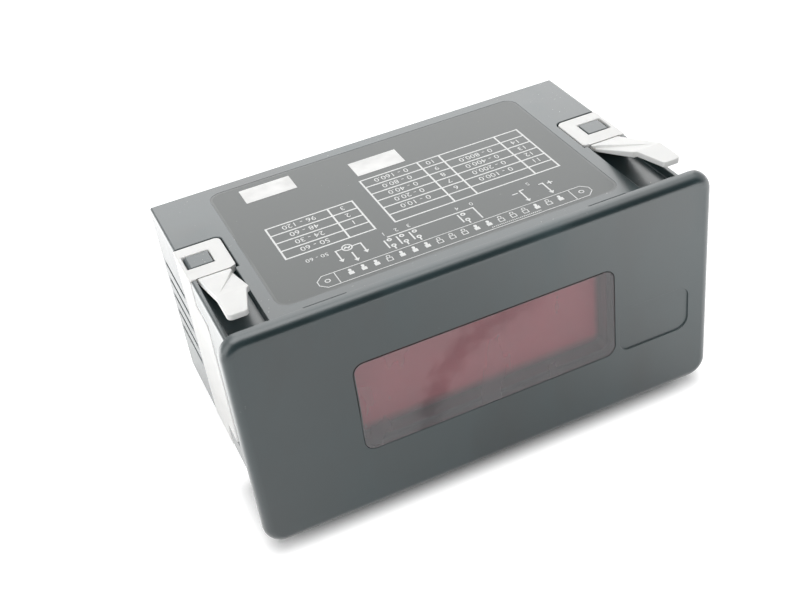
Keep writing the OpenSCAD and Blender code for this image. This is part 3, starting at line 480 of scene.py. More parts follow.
def wound_coil(name, wire, tape):
    """Enamelled turns seen through amber tape, each turn darkened towards its edges with painted shade."""
    r = Recipe(name)
    _, _, z = r.axes()
    turn = (z * (1.0 / (0.32 * MM))).remainder(1.0)
    valley = (turn - 0.5).absolute()
    wrinkle = r.noise(0.002, detail=3.0)
    # painted shade: each turn darker towards its edges, where the round wire turns away
    tone = r.mix(r.between(valley, 0.2, 0.5), wire, shade(wire, 0.55))
    tone = r.mix(0.45 + 0.2 * wrinkle, tone, tape)
    return r.finish(Base_Color=tone, Roughness=0.22 + 0.2 * wrinkle, Coat_Weight=0.6, Coat_Roughness=0.1,
                    Normal=r.bump(valley, 0.00005, 0.6))


def can_sleeve(name, colour, stripe_side):
    """Shrink sleeve with a pale polarity stripe down one side and a bare aluminium top."""
    r = Recipe(name)
    x, y, z = r.axes()
    lowest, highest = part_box(stripe_side)
    middle = (lowest + highest) / 2
    stripe = (x - middle.x).absolute().below(1.3 * MM) * y.below(middle.y)
    bare = z.above(highest.z - 0.25 * MM)
    cloud = r.noise(0.003)
    tone = r.mix(stripe, colour, (0.62, 0.66, 0.70))
    tone = r.mix(bare, tone, (0.70, 0.71, 0.72))
    return r.finish(Base_Color=tone, Metallic=bare, Roughness=0.25 + 0.1 * cloud, Coat_Weight=0.3)


def banded_resistors(name, coat, band_step):
    """Lacquered resistors with rings of colour and tinned leads."""
    r = Recipe(name)
    x, _, _ = r.axes()
    column, body_middle, body_half = 11.5 * MM, 5.3 * MM, 3.3 * MM
    along = (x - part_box("input_resistors")[0].x).remainder(column)
    band = along.remainder(band_step).below(0.42 * band_step)
    inside = (along - body_middle).absolute().below(body_half)
    shift = along * (1.0 / band_step)
    ramp = r.node("ShaderNodeValToRGB", {"stops": [
        (0.0, (0.20, 0.05, 0.02)), (0.35, (0.02, 0.02, 0.02)), (0.6, (0.75, 0.28, 0.03)),
        (0.85, (0.45, 0.30, 0.10))]}, Fac=shift * 0.14).out("Color")
    tone = r.mix(band, coat, ramp)
    tone = r.mix(inside, (0.74, 0.75, 0.77), tone)
    return r.finish(Base_Color=tone, Metallic=1.0 - inside, Roughness=0.26, Coat_Weight=0.2)


def chip_package(name, colour):
    """Black epoxy body with bright legs: the legs lie outside the body's width."""
    r = Recipe(name)
    _, y, _ = r.axes()
    middle, _ = middle_and_half(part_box("converter_chip"))
    body_half = 6.82 * MM
    leg = (y - middle.y).absolute().above(body_half)
    grain = r.noise(0.0002, detail=1.0)
    tone = r.mix(leg, colour, (0.72, 0.73, 0.74))
    return r.finish(Base_Color=tone, Metallic=leg, Roughness=0.52 - 0.2 * leg,
                    Normal=r.bump(grain, 0.000008))


def floor_white(name):
    """White floor: white to the camera save round the bezel's foot, where a painted shadow stays, and
    glowing unevenly to glossy rays, which paints reflections on the meter.
    """
    r = Recipe(name)
    x, y, _ = r.axes()
    rays = r.node("ShaderNodeLightPath")
    # painted shadow: near the bezel's foot the lift to white falls away, so the floor stays dark there
    foot_half, foot_y, foot_reach = 45.0 * MM, 8.0 * MM, 6.8 * MM
    beside = (x.absolute() - foot_half).at_least(0.0)
    ahead = ((y - foot_y).absolute() - foot_reach).at_least(0.0)
    clear = r.between(length_of(beside, ahead), 0.2 * MM, 4.4 * MM)
    # painted reflection: the floor glows to glossy rays only, brighter to the right, in front and at the
    # left rear, so the meter's faces mirror painted light
    right = r.between(x, 0.02, 0.085)
    front = r.between(-y, 0.01, 0.09)
    flank = r.between(-x, 0.05, 0.09) * r.between(y, 0.0, 0.05)
    left = r.between(-x, 0.0, 0.05) * (1.0 - front)
    mirrored = 0.14 + 0.24 * left + 0.34 * front + right * (0.54 + 0.30 * front) + 2.3 * flank
    lift = 0.62 * clear * (rays.value("Is Camera Ray") + rays.value("Is Transmission Ray"))
    # painted reflection, dimmer round the foot along with the painted shadow
    lift = lift + mirrored * (0.35 + 0.65 * clear) * rays.value("Is Glossy Ray")
    matte = r.node("ShaderNodeBsdfDiffuse", None, Color=(0.90, 0.90, 0.90)).out()
    glow = r.node("ShaderNodeEmission", None, Color=(1.0, 1.0, 1.0), Strength=lift).out()
    return r.close(r.node("ShaderNodeAddShader", None, matte, glow).out())


# -------- making pieces


def link(name, data):
    piece = bpy.data.objects.new(name, data)
    bpy.context.scene.collection.objects.link(piece)
    return piece


def baked(piece):
    """A new mesh of a piece, as its modifiers or its font leave it."""
    seen = piece.evaluated_get(bpy.context.evaluated_depsgraph_get())
    return bpy.data.meshes.new_from_object(seen)


class Regions:
    """The faces of a mesh, gathered wherever neighbours turn by less than an angle, in degrees."""

    def __init__(self, mesh, angle):
        faces, verts = mesh.polygons, mesh.vertices
        self.parent = list(range(len(faces)))
        self.sides = {}
        for face in faces:
            for key in face.edge_keys:
                self.sides.setdefault(key, []).append(face.index)
        limit = math.cos(math.radians(angle))
        for pair in self.sides.values():
            if len(pair) == 2 and faces[pair[0]].normal.dot(faces[pair[1]].normal) > limit:
                self.parent[self.root(pair[0])] = self.root(pair[1])
        self.home = [self.root(index) for index in range(len(faces))]
        self.normal = {home: Vector() for home in self.home}
        area = dict.fromkeys(self.home, 0.0)
        rim = dict.fromkeys(self.home, 1e-9)
        for face in faces:
            area[self.home[face.index]] += face.area
            self.normal[self.home[face.index]] += face.area * face.normal
        for (first, second), pair in self.sides.items():
            if len({self.home[index] for index in pair}) == 2:
                for index in pair:
                    rim[self.home[index]] += (verts[first].co - verts[second].co).length
        self.width = {home: 2.0 * area[home] / rim[home] for home in area}

    def root(self, index):
        while self.parent[index] != index:
            self.parent[index] = self.parent[self.parent[index]]
            index = self.parent[index]
        return index


def weigh_edges(mesh, width, angle):
    """Gives each edge sharper than an angle its share of the bevel: less where a face is narrow."""
    regions = Regions(mesh, angle)
    weight = mesh.attributes.new("bevel_weight_edge", "FLOAT", "EDGE")
    for edge in mesh.edges:
        pair = regions.sides[tuple(sorted(edge.vertices))]
        homes = {regions.home[index] for index in pair}
        if len(homes) == 2:
            room = BEVEL_SHARE * min(regions.width[home] for home in homes)
            weight.data[edge.index].value = min(1.0, room / width)


def crisp_normals(mesh):
    """Shades wide flat faces flat, and lets the narrow strips between them bend from one to the next."""
    regions = Regions(mesh, LEVEL)
    touching = [set() for _ in mesh.vertices]
    for face in mesh.polygons:
        for corner in face.vertices:
            touching[corner].add(regions.home[face.index])
    unit = {home: vector.normalized() for home, vector in regions.normal.items()}
    normals = [None] * len(mesh.loops)
    for face in mesh.polygons:
        home = regions.home[face.index]
        for loop in face.loop_indices:
            normals[loop] = unit[home]
            if regions.width[home] < WIDE:
                near = (other for other in touching[mesh.loops[loop].vertex_index]
                        if unit[other].dot(unit[home]) > STEEP)
                normals[loop] = sum((regions.normal[other] for other in near), Vector()).normalized()
    mesh.normals_split_custom_set(normals)


def skin(node, width, material, body, slot):
    """Stands in for a CAD node: its corners are rounded, its curves smooth and its flats flat."""
    mesh = frame["nodes"][node].data.copy()
    mesh.materials.clear()
    for name in ("custom_normal", "sharp_edge", "sharp_face"):
        if name in mesh.attributes:
            mesh.attributes.remove(mesh.attributes[name])
    work = bmesh.new()
    work.from_mesh(mesh)
    bmesh.ops.remove_doubles(work, verts=work.verts, dist=WELD)
    work.to_mesh(mesh)
    work.free()
    weigh_edges(mesh, width, CREASE)
    piece = link(node + "_skin", mesh)
    bevel = piece.modifiers.new("Broken edges", "BEVEL")
    bevel.width = width
    bevel.segments = 2
    bevel.limit_method = "WEIGHT"
    bevel.use_clamp_overlap = False
    bevel.loop_slide = False
    mesh.polygons.foreach_set("use_smooth", [True] * len(mesh.polygons))
    piece.data = baked(piece)
    piece.modifiers.clear()
    bpy.data.meshes.remove(mesh)
    crisp_normals(piece.data)
    piece.data.materials.append(material)
    dress(piece, body, slot, node)


def dress(piece, body, slot, *nodes):
    """Ties a finished piece to its body, and hides the nodes that it stands for; slot is not used."""
    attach(piece, body)
    if nodes:
        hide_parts(*nodes)


def paint(node, material):
    """Gives a CAD node its finish, on its own mesh."""
    mesh = frame["nodes"][node].data
    if mesh.materials:
        for index in range(len(mesh.materials)):
            mesh.materials[index] = material
    else:
        mesh.materials.append(material)


def prism(work, outline, low, high):
    """A closed flat-topped solid over an outline given as (x, y) points, anticlockwise from above."""
    bottom = [work.verts.new((x, y, low)) for x, y in outline]
    top = [work.verts.new((x, y, high)) for x, y in outline]
    work.faces.new(list(reversed(bottom)))
    work.faces.new(top)
    count = len(outline)
    for i in range(count):
        j = (i + 1) % count
        work.faces.new((bottom[i], bottom[j], top[j], top[i]))


def oblong(x0, y0, x1, y1):
    return [(x0, y0), (x1, y0), (x1, y1), (x0, y1)]


def ribbon(work, points, width, low, high, closed=False):
    """A line of one width along (x, y) points, mitred at its corners, as one closed solid."""
    count = len(points)
    left, right = [], []
    for i, point in enumerate(points):
        here = Vector(point)
        before = Vector(points[i - 1]) if i or closed else None
        after = Vector(points[(i + 1) % count]) if i < count - 1 or closed else None
        into = (here - before).normalized() if before is not None else (after - here).normalized()
        away = (after - here).normalized() if after is not None else into
        side = Vector((-(into.y + away.y), into.x + away.x)).normalized()
        reach = width / 2 / max(MITRE, side.dot(Vector((-into.y, into.x))))
        left.append(here + side * reach)
        right.append(here - side * reach)
    if not closed:
        prism(work, right + left[::-1], low, high)
        return
    rings = [[work.verts.new((p.x, p.y, level)) for p in side]
             for side, level in ((right, low), (left, low), (right, high), (left, high))]
    outer_low, inner_low, outer_high, inner_high = rings
    for i in range(count):
        j = (i + 1) % count
        work.faces.new((outer_high[i], outer_high[j], inner_high[j], inner_high[i]))
        work.faces.new((outer_low[j], outer_low[i], inner_low[i], inner_low[j]))
        work.faces.new((outer_low[i], outer_low[j], outer_high[j], outer_high[i]))
        work.faces.new((inner_low[j], inner_low[i], inner_high[i], inner_high[j]))


def arc(centre, radius, start, end, steps):
    """Points on an arc, in degrees, anticlockwise when end is the larger."""
    return [(centre[0] + radius * math.cos(math.radians(start + (end - start) * i / steps)),
             centre[1] + radius * math.sin(math.radians(start + (end - start) * i / steps)))
            for i in range(steps + 1)]


def solid_mesh(name, work, material):
    """Closes a bmesh into a mesh with outward faces and one material."""
    bmesh.ops.recalc_face_normals(work, faces=work.faces)
    mesh = bpy.data.meshes.new(name)
    work.to_mesh(mesh)
    work.free()
    mesh.materials.append(material)
    return mesh


def joined(name, meshes):
    """Several meshes as one, with the first one's material."""
    work = bmesh.new()
    for mesh in meshes:
        work.from_mesh(mesh)
    result = bpy.data.meshes.new(name)
    work.to_mesh(result)
    work.free()
    result.materials.append(meshes[0].materials[0])
    for mesh in meshes:
        bpy.data.meshes.remove(mesh)
    return result


# -------- geometry nodes


class Rows:
    """A Geometry Nodes tree that repeats a small solid along a straight row."""

    def __init__(self):
        self.tree = bpy.data.node_groups.new("Row of solids", "GeometryNodeTree")
        face = self.tree.interface
        face.new_socket("Geometry", in_out="OUTPUT", socket_type="NodeSocketGeometry")
        kinds = {"Mark": "NodeSocketObject", "Count": "NodeSocketInt", "Start": "NodeSocketVector",
                 "Step": "NodeSocketVector", "Finish": "NodeSocketMaterial"}
        self.ids = {name: face.new_socket(name, in_out="INPUT", socket_type=kind).identifier
                    for name, kind in kinds.items()}
        given = self.add("NodeGroupInput")
        line = self.add("GeometryNodeMeshLine", {"mode": "OFFSET"})
        mark = self.add("GeometryNodeObjectInfo", {"transform_space": "ORIGINAL"})
        copies = self.add("GeometryNodeInstanceOnPoints")
        solid = self.add("GeometryNodeRealizeInstances")
        painted = self.add("GeometryNodeSetMaterial")
        result = self.add("NodeGroupOutput")
        for source, output, target, socket in (
                (given, "Count", line, "Count"), (given, "Start", line, "Start Location"),
                (given, "Step", line, "Offset"), (given, "Mark", mark, "Object"),
                (line, "Mesh", copies, "Points"), (mark, "Geometry", copies, "Instance"),
                (copies, "Instances", solid, "Geometry"), (solid, "Geometry", painted, "Geometry"),
                (given, "Finish", painted, "Material"), (painted, "Geometry", result, "Geometry")):
            self.tree.links.new(source.outputs[output], target.inputs[socket])

    def add(self, kind, settings=None):
        item = self.tree.nodes.new(kind)
        for key, setting in (settings or {}).items():
            setattr(item, key, setting)
        return item

    def repeat(self, name, mark_mesh, count, start, step, material):
        """A mesh of count copies of a mesh, the first at start and each a step further."""
        mark = link(name + "_mark", mark_mesh)
        holder = link(name + "_row", bpy.data.meshes.new(name + "_row"))
        modifier = holder.modifiers.new("Row", "NODES")
        modifier.node_group = self.tree
        given = {"Mark": mark, "Count": count, "Start": start, "Step": step, "Finish": material}
        for key, setting in given.items():
            modifier[self.ids[key]] = setting
        mesh = baked(holder)
        holder.modifiers.clear()
        for leftover in (holder, mark):
            data = leftover.data
            bpy.data.objects.remove(leftover)
            bpy.data.meshes.remove(data)
        return mesh


_rows = []


def rows():
    """The one tree that every row shares."""
    if not _rows:
        _rows.append(Rows())
    return _rows[0]


def bar_mesh(name, size, material):
    """A flat bar centred on its own origin, its foot at height 0."""
    work = bmesh.new()
    x, y = size[0] / 2, size[1] / 2
    prism(work, [(-x, -y), (x, -y), (x, y), (-x, y)], 0.0, size[2])
    return solid_mesh(name, work, material)


def figures(text, height, centre, foot, rise, material):
    """Plain figures as a flat closed mesh, centred on a point and read from the rear."""
    curve = bpy.data.curves.new("figures", "FONT")
    curve.body = text
    curve.size = height / FIGURE_SHARE
    curve.align_x = "CENTER"
    curve.extrude = rise / 2
    curve.resolution_u = 3
    holder = link("figures", curve)
    mesh = baked(holder)
    bpy.data.objects.remove(holder)
    bpy.data.curves.remove(curve)
    mesh.transform(Matrix.Translation((centre[0], centre[1], foot + rise / 2))
                   @ Matrix.Rotation(math.pi, 4, "Z") @ Matrix.Translation((0.0, -height / 2, 0.0)))
    mesh.materials.clear()
    mesh.materials.append(material)
    return mesh


# -------- operators: the meter


class METER_OT_shell(bpy.types.Operator):
    """Dresses the bezel and the case in dark moulded plastic"""

    bl_idname = "meter.shell"
    bl_label = "Bezel and Case"

    def execute(self, context):
        values = finish_values()
        bezel = shell_plastic("bezel plastic", values.shell_colour, 0.36, 0.000007, 0.66)
        case = shell_plastic("case plastic", values.shell_colour, 0.30, 0.000005, 0.50)
        skin("front_bezel", 0.08 * MM, bezel, "housing", "bezel_plastic")
        skin("case_shell", values.edge_round, case, "housing", "case_plastic")
        return {"FINISHED"}


class METER_OT_brackets(bpy.types.Operator):
    """Dresses the two mounting brackets and their four spring tongues"""

    bl_idname = "meter.brackets"
    bl_label = "Mounting Brackets"

    def execute(self, context):
        values = finish_values()
        white = bracket_plastic("bracket plastic", values.bracket_colour)
        for side in ("left", "right"):
            name = side + "_bracket"
            skin(name, values.edge_round, white, "housing", "bracket_plastic")
            for level in ("upper", "lower"):
                name = f"{side}_{level}_tongue"
                skin(name, 0.8 * values.edge_round, white, name, "bracket_plastic")
        return {"FINISHED"}


class METER_OT_display(bpy.types.Operator):
    """Dresses the window, the red filter and the digits behind it"""

    bl_idname = "meter.display"
    bl_label = "Display"

    def execute(self, context):
        values = finish_values()
        sheet = window_plastic("smoked window")
        skin("display_window", 0.05 * MM, sheet, "housing", "window_plastic")
        paint("red_filter", filter_sheet("red filter", values.filter_colour))
        housing = plain_plastic("digit housing", (0.22, 0.22, 0.225), 0.5)
        for number in range(1, 5):
            paint(f"led_digit_{number}", housing)
        paint("digit_segments", plain_plastic("digit epoxy", (0.30, 0.035, 0.05), 0.25))
        return {"FINISHED"}


class METER_OT_boards(bpy.types.Operator):
    """Dresses the circuit boards and what is soldered to them"""

    bl_idname = "meter.boards"
    bl_label = "Circuit Boards"

    def execute(self, context):
        mask = (0.030, 0.160, 0.070)
        paint("main_board", circuit_board("main board", mask, "Y"))
        paint("display_board", circuit_board("display board", mask, "X"))
        paint("board_link", plain_plastic("pin strip", (0.035, 0.035, 0.04), 0.45))
        paint("converter_chip", chip_package("converter chip", (0.028, 0.028, 0.030)))
        paint("transformer_core", laminated_steel("core laminations", (0.26, 0.27, 0.29), 0.5 * MM))
        paint("transformer_bobbin", plain_plastic("bobbin", (0.62, 0.58, 0.46), 0.45))
        paint("transformer_coil", wound_coil("transformer coil", (0.70, 0.32, 0.12), (0.78, 0.55, 0.12)))
        for node in ("smoothing_capacitor", "filter_capacitor"):
            paint(node, can_sleeve(node.replace("_", " "), (0.025, 0.060, 0.20), node))
        power = plain_plastic("power package", (0.03, 0.03, 0.03), 0.5)
        paint("bridge_rectifier", power)
        paint("voltage_regulator", power)
        paint("input_resistors", banded_resistors("input resistors", (0.58, 0.46, 0.28), 1.1 * MM))
        paint("film_capacitors", plain_plastic("film capacitors", (0.42, 0.10, 0.035), 0.18))
        paint("display_board_screws", metal("zinc plate", (0.66, 0.67, 0.70), 0.24))
        return {"FINISHED"}


class METER_OT_terminals(bpy.types.Operator):
    """Dresses the rear connector, its clamps and its screws"""

    bl_idname = "meter.terminals"
    bl_label = "Terminals"

    def execute(self, context):
        green = plain_plastic("terminal plastic", (0.035, 0.26, 0.095), 0.38)
        brass = metal("contact brass", (0.74, 0.60, 0.30), 0.26)
        steel = metal("screw steel", (0.66, 0.67, 0.70), 0.24, (1.0, 0.1, 1.0))
        paint("terminal_header", green)
        skin("terminal_plug", 0.15 * MM, green, "plug", "terminal_plastic")
        for node in ("header_pins", "header_nuts", "terminal_clamps"):
            paint(node, brass)
        for node in ("terminal_screws", "left_flange_screw", "right_flange_screw"):
            paint(node, steel)
        return {"FINISHED"}


# -------- operators: the label


def table_meshes(name, corner, width, count, columns, foot, paint_with):
    """A ruled table: its frame, the rules between its rows and those between its columns."""
    values = layout_values()
    rule, pitch, rise = values.rule_width, values.row_pitch, values.ink_height
    x0, y0 = corner
    depth = count * pitch
    meshes = []
    work = bmesh.new()
    ribbon(work, oblong(x0, y0, x0 + width, y0 + depth), rule, foot, foot + rise, closed=True)
    meshes.append(solid_mesh(name + "_frame", work, paint_with))
    across = bar_mesh(name + "_rule", (width - rule, rule, rise), paint_with)
    meshes.append(rows().repeat(name + "_rules", across, count - 1,
                                (x0 + width / 2, y0 + pitch, foot), (0.0, pitch, 0.0), paint_with))
    for index, column in enumerate(columns):
        upright = bar_mesh(f"{name}_upright_{index}", (rule, pitch - rule, rise), paint_with)
        meshes.append(rows().repeat(f"{name}_uprights_{index}", upright, count,
                                    (column, y0 + pitch / 2, foot), (0.0, pitch, 0.0), paint_with))
    return meshes


class METER_OT_label(bpy.types.Operator):
    """Lays the film on the case and prints its tables, figures, symbols and terminal strip"""

    bl_idname = "meter.label"
    bl_label = "Printed Label"

    def execute(self, context):
        values = finish_values()
        layout = layout_values()
        self.white = ink("white ink", values.ink_colour)
        self.paper = plain_plastic("label paper", (0.90, 0.90, 0.89), 0.55)
        self.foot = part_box("top_label")[1].z
        self.rise = layout.ink_height
        self.film(label_film("label film", values.label_colour))
        self.tables()
        self.blanks()
        self.strip(layout)
        self.symbols()
        return {"FINISHED"}

    def film(self, material):
        """The film, reaching the walls of its recess, as it does when pressed down."""
        lowest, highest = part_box("top_label")
        radius = LABEL_CORNER + LABEL_PLAY
        east, west = highest.x + LABEL_PLAY - radius, lowest.x - LABEL_PLAY + radius
        rear, front = highest.y + LABEL_PLAY - radius, lowest.y - LABEL_PLAY + radius
        outline = []
        for turn, centre in enumerate(((east, rear), (west, rear), (west, front), (east, front))):
            outline += arc(centre, radius, turn * 90.0, turn * 90.0 + 90.0, 10)
        work = bmesh.new()
        prism(work, outline, lowest.z, highest.z)
        sheet = link("label_sheet", solid_mesh("label_sheet", work, material))
        dress(sheet, "housing", "label_film", "top_label")

    def keep(self, name, meshes):
        dress(link(name, joined(name, meshes)), "housing", "label_film")

    def tables(self):
        """Two ruled tables, filled with plain figures."""
        pitch = layout_values().row_pitch
        front = 20.95 * MM
        meshes = table_meshes("small_table", (-28.3 * MM, front), 17.9 * MM, 4, [-15.6 * MM],
                              self.foot, self.white)
        meshes += table_meshes("large_table", (-6.3 * MM, front), 35.2 * MM, 6,
                               [6.2 * MM, 11.0 * MM, 23.65 * MM], self.foot, self.white)
        self.keep("label_tables", meshes)
        meshes = []
        for row in range(4):
            level = front + (row + 0.5) * pitch
            meshes.append(self.text("50 - 60" if row == 0 else f"{12 * 2 ** row} - {15 * 2 ** row}",
                                    (-21.95 * MM, level), 1.5))
            if row:
                meshes.append(self.text(str(row), (-13.0 * MM, level), 1.45))
        for row in range(1, 6):
            level = front + (row + 0.5) * pitch
            meshes.append(self.text(f"0 - {10 * 2 ** (row - 1)}.0", (-0.05 * MM, level), 1.5))
            meshes.append(self.text(str(row + 5), (8.6 * MM, level), 1.45))
            if row < 5:
                meshes.append(self.text(f"0 - {5 * 2 ** row}0.0", (17.3 * MM, level), 1.5))
                meshes.append(self.text(str(row + 10), (26.3 * MM, level), 1.45))
        self.keep("label_figures", meshes)

    def text(self, words, centre, height):
        return figures(words, height * MM, centre, self.foot, self.rise, self.white)

    def blanks(self):
        """Two blank paper patches."""
        work = bmesh.new()
        for patch in ((-28.35, 43.8, -17.65, 49.2), (-5.8, 40.5, 4.6, 46.2)):
            outline = oblong(*(side * MM for side in patch))
            prism(work, outline, self.foot, self.foot + 2 * self.rise)
        self.keep("label_patches", [solid_mesh("label_patches", work, self.paper)])

    def strip(self, layout):
        """The drawn terminal strip: a long outline with bevelled ends, and a mark for each terminal."""
        thin, low, high = layout.thin_width, self.foot, self.foot + self.rise
        x0, x1, y0, y1 = -26.0 * MM, 29.4 * MM, 8.4 * MM, 12.2 * MM
        bevel = 1.25 * MM
        work = bmesh.new()
        ribbon(work, [(x0 + bevel, y0), (x1 - bevel, y0), (x1, y0 + bevel), (x1, y1 - bevel),
                      (x1 - bevel, y1), (x0 + bevel, y1), (x0, y1 - bevel), (x0, y0 + bevel)],
               thin, low, high, closed=True)
        for x in (-22.35 * MM, 25.6 * MM):
            ribbon(work, [(x, y0 + thin), (x, y1 - thin)], thin, low, high)
        for x in (-24.2 * MM, 27.5 * MM):
            ribbon(work, arc((x, 10.35 * MM), 0.46 * MM, 0, 345, 23), 1.2 * thin, low, high, closed=True)
        outline = solid_mesh("strip_outline", work, self.white)
        first = -19.6 * MM
        pitch = layout.mark_pitch
        filled = {0, 1, 2, 4, 5, 6, 10, 11, 15, 17}
        meshes = [outline]
        run = []
        for index in range(layout.mark_count + 1):
            if run and (index == layout.mark_count or (index in filled) != (run[0] in filled)):
                kind = run[0] in filled
                mark = self.terminal_mark(kind, thin, high - low)
                meshes.append(rows().repeat("strip_marks", mark, len(run),
                                            (first + run[0] * pitch, 10.3 * MM, low),
                                            (pitch, 0.0, 0.0), self.white))
                run = []
            run.append(index)
        dots = 27
        dot = bar_mesh("strip_dot", (0.22 * MM, 0.26 * MM, high - low), self.white)
        meshes.append(rows().repeat("strip_dots", dot, dots, (first + 11 * pitch, 9.05 * MM, low),
                                    (4 * pitch / (dots - 1), 0.0, 0.0), self.white))
        self.keep("label_strip", meshes)

    def terminal_mark(self, filled, thin, rise):
        """One terminal seen from the rear: a wire entry, and the round of its screw towards the rear."""
        work = bmesh.new()
        half, depth = 0.50 * MM, 0.95 * MM
        box = oblong(-half, -depth / 2, half, depth / 2)
        head = arc((0.0, 1.0 * MM), 0.34 * MM, 300, 600, 10)
        if filled:
            prism(work, box, 0.0, rise)
            prism(work, [(-0.22 * MM, depth / 2)] + [(0.22 * MM, depth / 2)] + head[1:-1], 0.0, rise)
        else:
            ribbon(work, box, thin, 0.0, rise, closed=True)
            ribbon(work, head, thin, 0.0, rise)
        return solid_mesh("terminal_mark", work, self.white)

    def symbols(self):
        """Circuit symbols: a source with its leads, four switches and two input arrows."""
        width = 0.30 * MM
        work = bmesh.new()

        def line(*points):
            ribbon(work, [(x * MM, y * MM) for x, y in points], width, self.foot, self.foot + self.rise)

        def arrow(x, y0, y1):
            half, neck = 0.55, y1 + 0.9
            line((x, y0), (x, neck))
            head = [(x * MM, y1 * MM), ((x + half) * MM, neck * MM), ((x - half) * MM, neck * MM)]
            prism(work, head, self.foot, self.foot + self.rise)

        def ring(x, y, radius):
            ribbon(work, arc((x * MM, y * MM), radius * MM, 0, 340, 17), width, self.foot,
                   self.foot + self.rise, closed=True)

        ring(-17.3, 18.2, 0.95)
        line((-18.4, 18.2), (-19.6, 18.2), (-19.6, 16.9))
        arrow(-19.6, 16.9, 14.2)
        line((-16.2, 18.2), (-14.6, 18.2), (-14.6, 17.0))
        arrow(-14.6, 17.0, 14.6)
        line((-17.9, 18.0), (-17.5, 18.5), (-17.1, 17.9), (-16.7, 18.4))
        arrow(-17.1, 16.3, 13.0)
        bus = 17.1
        line((-9.7, bus), (8.0, bus), (8.0, 12.9))
        for x in (-9.7, -7.2, -4.6, 5.4):
            ring(x, 16.1, 0.36)
            ring(x, 14.0, 0.36)
            line((x, 13.5), (x, 12.7))
            line((x - 1.0, 16.4), (x - 0.95, 13.5))
        for x, hook in ((18.0, 0.9), (23.0, -0.9)):
            line((x + hook, 17.2), (x, 17.2), (x, 15.5))
            arrow(x, 15.5, 12.9)
        line((16.2, 16.7), (17.4, 16.7))
        line((23.7, 16.7), (24.9, 16.7))
        line((24.3, 17.3), (24.3, 16.85))
        line((24.3, 16.55), (24.3, 16.1))
        drawing = solid_mesh("label_symbols", work, self.white)
        notes = [self.text(words, (x * MM, y * MM), 1.15) for words, x, y in (
            ("50 - 60", -23.2, 18.2), ("1", -9.9, 18.4), ("2", -7.3, 18.4), ("3", -4.8, 18.4),
            ("4", 5.3, 18.4), ("0", 8.3, 18.4), ("5", 20.5, 18.5))]
        self.keep("label_symbols", [drawing] + notes)


# -------- operator: the stage


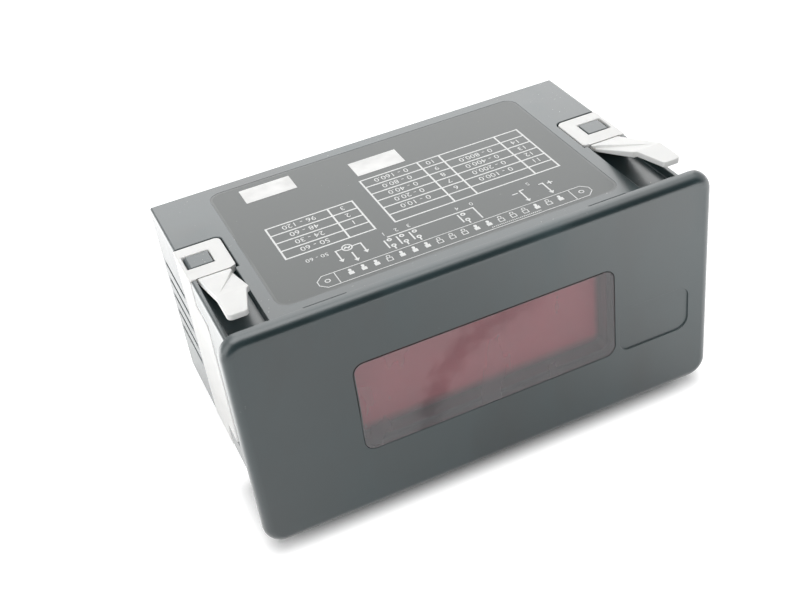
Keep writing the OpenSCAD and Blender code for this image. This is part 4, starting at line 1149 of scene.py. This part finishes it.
class METER_OT_stage(bpy.types.Operator):
    """Sets the camera, the soft boxes, the sky and the white floor"""

    bl_idname = "meter.stage"
    bl_label = "Stage"

    place = Vector((-71.1, -161.2, 143.6)) * MM
    aim = Vector((-10.04, 14.06, 7.74)) * MM
    roll = math.radians(-8.3)
    focal_length = 55.02
    soft_sky = 0.40
    dark_front = 0.03

    def execute(self, context):
        self.camera(context.scene)
        self.floor()
        self.sky(context.scene)
        self.lamps()
        context.scene.view_settings.view_transform = "Standard"
        return {"FINISHED"}

    def camera(self, scene):
        data = bpy.data.cameras.new("Camera")
        data.lens = self.focal_length
        data.sensor_width = 36.0
        data.clip_start = 0.01
        camera = link("Camera", data)
        camera.location = self.place
        turn = (self.aim - self.place).to_track_quat("-Z", "Y")
        camera.rotation_mode = "QUATERNION"
        camera.rotation_quaternion = turn @ Quaternion((0.0, 0.0, 1.0), self.roll)
        scene.camera = camera

    @staticmethod
    def floor():
        """A plane under the lower tongues and the case's lower rear edge, on which the meter rests."""
        foot = frame["nodes"]["left_lower_tongue"].data.vertices
        lowest = min(v.co.z for v in foot)
        heel = max(v.co.y for v in foot if v.co.z < lowest + 0.05 * MM)
        case_low, case_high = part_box("case_shell")
        slope = math.atan2(case_low.z - lowest, case_high.y - heel)
        half, gap = 3.0, 0.02 * MM
        mesh = bpy.data.meshes.new("floor")
        work = bmesh.new()
        bmesh.ops.create_grid(work, x_segments=1, y_segments=1, size=half)
        work.to_mesh(mesh)
        work.free()
        mesh.transform(Matrix.Translation((0.0, heel, lowest - gap)) @ Matrix.Rotation(slope, 4, "X"))
        mesh.materials.append(floor_white("white floor"))
        ground = link("floor", mesh)

    def sky(self, scene):
        """Even soft light: white to the camera, and in reflections white behind and dark in front."""
        r = Recipe("studio", world=True)
        rays = r.node("ShaderNodeLightPath")
        _, y, z = r.axes()
        behind = r.between(y, -0.68, -0.30) * (1.0 + 1.3 * r.between(z, 0.70, 0.92))
        seen = rays.value("Is Camera Ray")
        glossy = rays.value("Is Glossy Ray")
        through = rays.value("Is Transmission Ray")
        soft = self.soft_sky * (1.0 - seen - glossy - through)
        strength = soft + seen + through + glossy * (self.dark_front + (1.0 - self.dark_front) * behind)
        light = r.node("ShaderNodeBackground", None, Color=(1.0, 1.0, 1.0), Strength=strength).out()
        scene.world = r.close(light)

    def lamps(self):
        centre = (Vector(cad_box[0]) + Vector(cad_box[1])) / 2
        self.soft_box("rear box", centre, (0.30, 0.76, 0.62), 0.9, 0.9, 1.3)
        self.soft_box("top box", centre, (-0.15, -0.10, 1.0), 1.2, 1.0, 1.4)
        self.soft_box("left box", centre, (-1.0, -0.25, 0.45), 1.0, 0.8, 1.2)
        self.soft_box("front box", centre, (0.25, -1.0, 0.15), 1.2, 0.8, 1.0, False)

    @staticmethod
    def soft_box(name, centre, direction, distance, size, radiance, mirrored=True):
        """A square lamp facing the meter, by the radiance of its face, kept out of reflections or not."""
        data = bpy.data.lights.new(name, "AREA")
        data.shape = "SQUARE"
        data.size = size
        data.energy = radiance * math.pi * size * size
        lamp = link(name, data)
        away = Vector(direction).normalized()
        lamp.location = centre + away * distance
        lamp.visible_glossy = mirrored
        lamp.rotation_mode = "QUATERNION"
        lamp.rotation_quaternion = away.to_track_quat("Z", "Y")


# -------- panel and registration


class METER_PT_sidebar(bpy.types.Panel):
    """Lists the meter's operators and values."""

    bl_idname = "METER_PT_sidebar"
    bl_label = "Panel Meter"
    bl_space_type = "VIEW_3D"
    bl_region_type = "UI"
    bl_category = "Panel Meter"

    def draw(self, context):
        column = self.layout.column()
        for step in STEPS:
            column.operator(step.bl_idname)
        for group in (context.scene.meter_finish, context.scene.meter_label):
            for name in group.bl_rna.properties.keys():
                if name not in ("rna_type", "name"):
                    column.prop(group, name)


STEPS = (METER_OT_stage, METER_OT_shell, METER_OT_brackets, METER_OT_display, METER_OT_boards,
         METER_OT_terminals, METER_OT_label)
CLASSES = (MeterFinish, LabelLayout, *STEPS, METER_PT_sidebar)


def register():
    for item in CLASSES:
        bpy.utils.register_class(item)
    bpy.types.Scene.meter_finish = PointerProperty(type=MeterFinish)
    bpy.types.Scene.meter_label = PointerProperty(type=LabelLayout)


def unregister():
    del bpy.types.Scene.meter_label
    del bpy.types.Scene.meter_finish
    for item in reversed(CLASSES):
        bpy.utils.unregister_class(item)


def main():
    register()
    for step in STEPS:
        group, name = step.bl_idname.split(".")
        getattr(getattr(bpy.ops, group), name)()


if __name__ == "__main__":
    main()
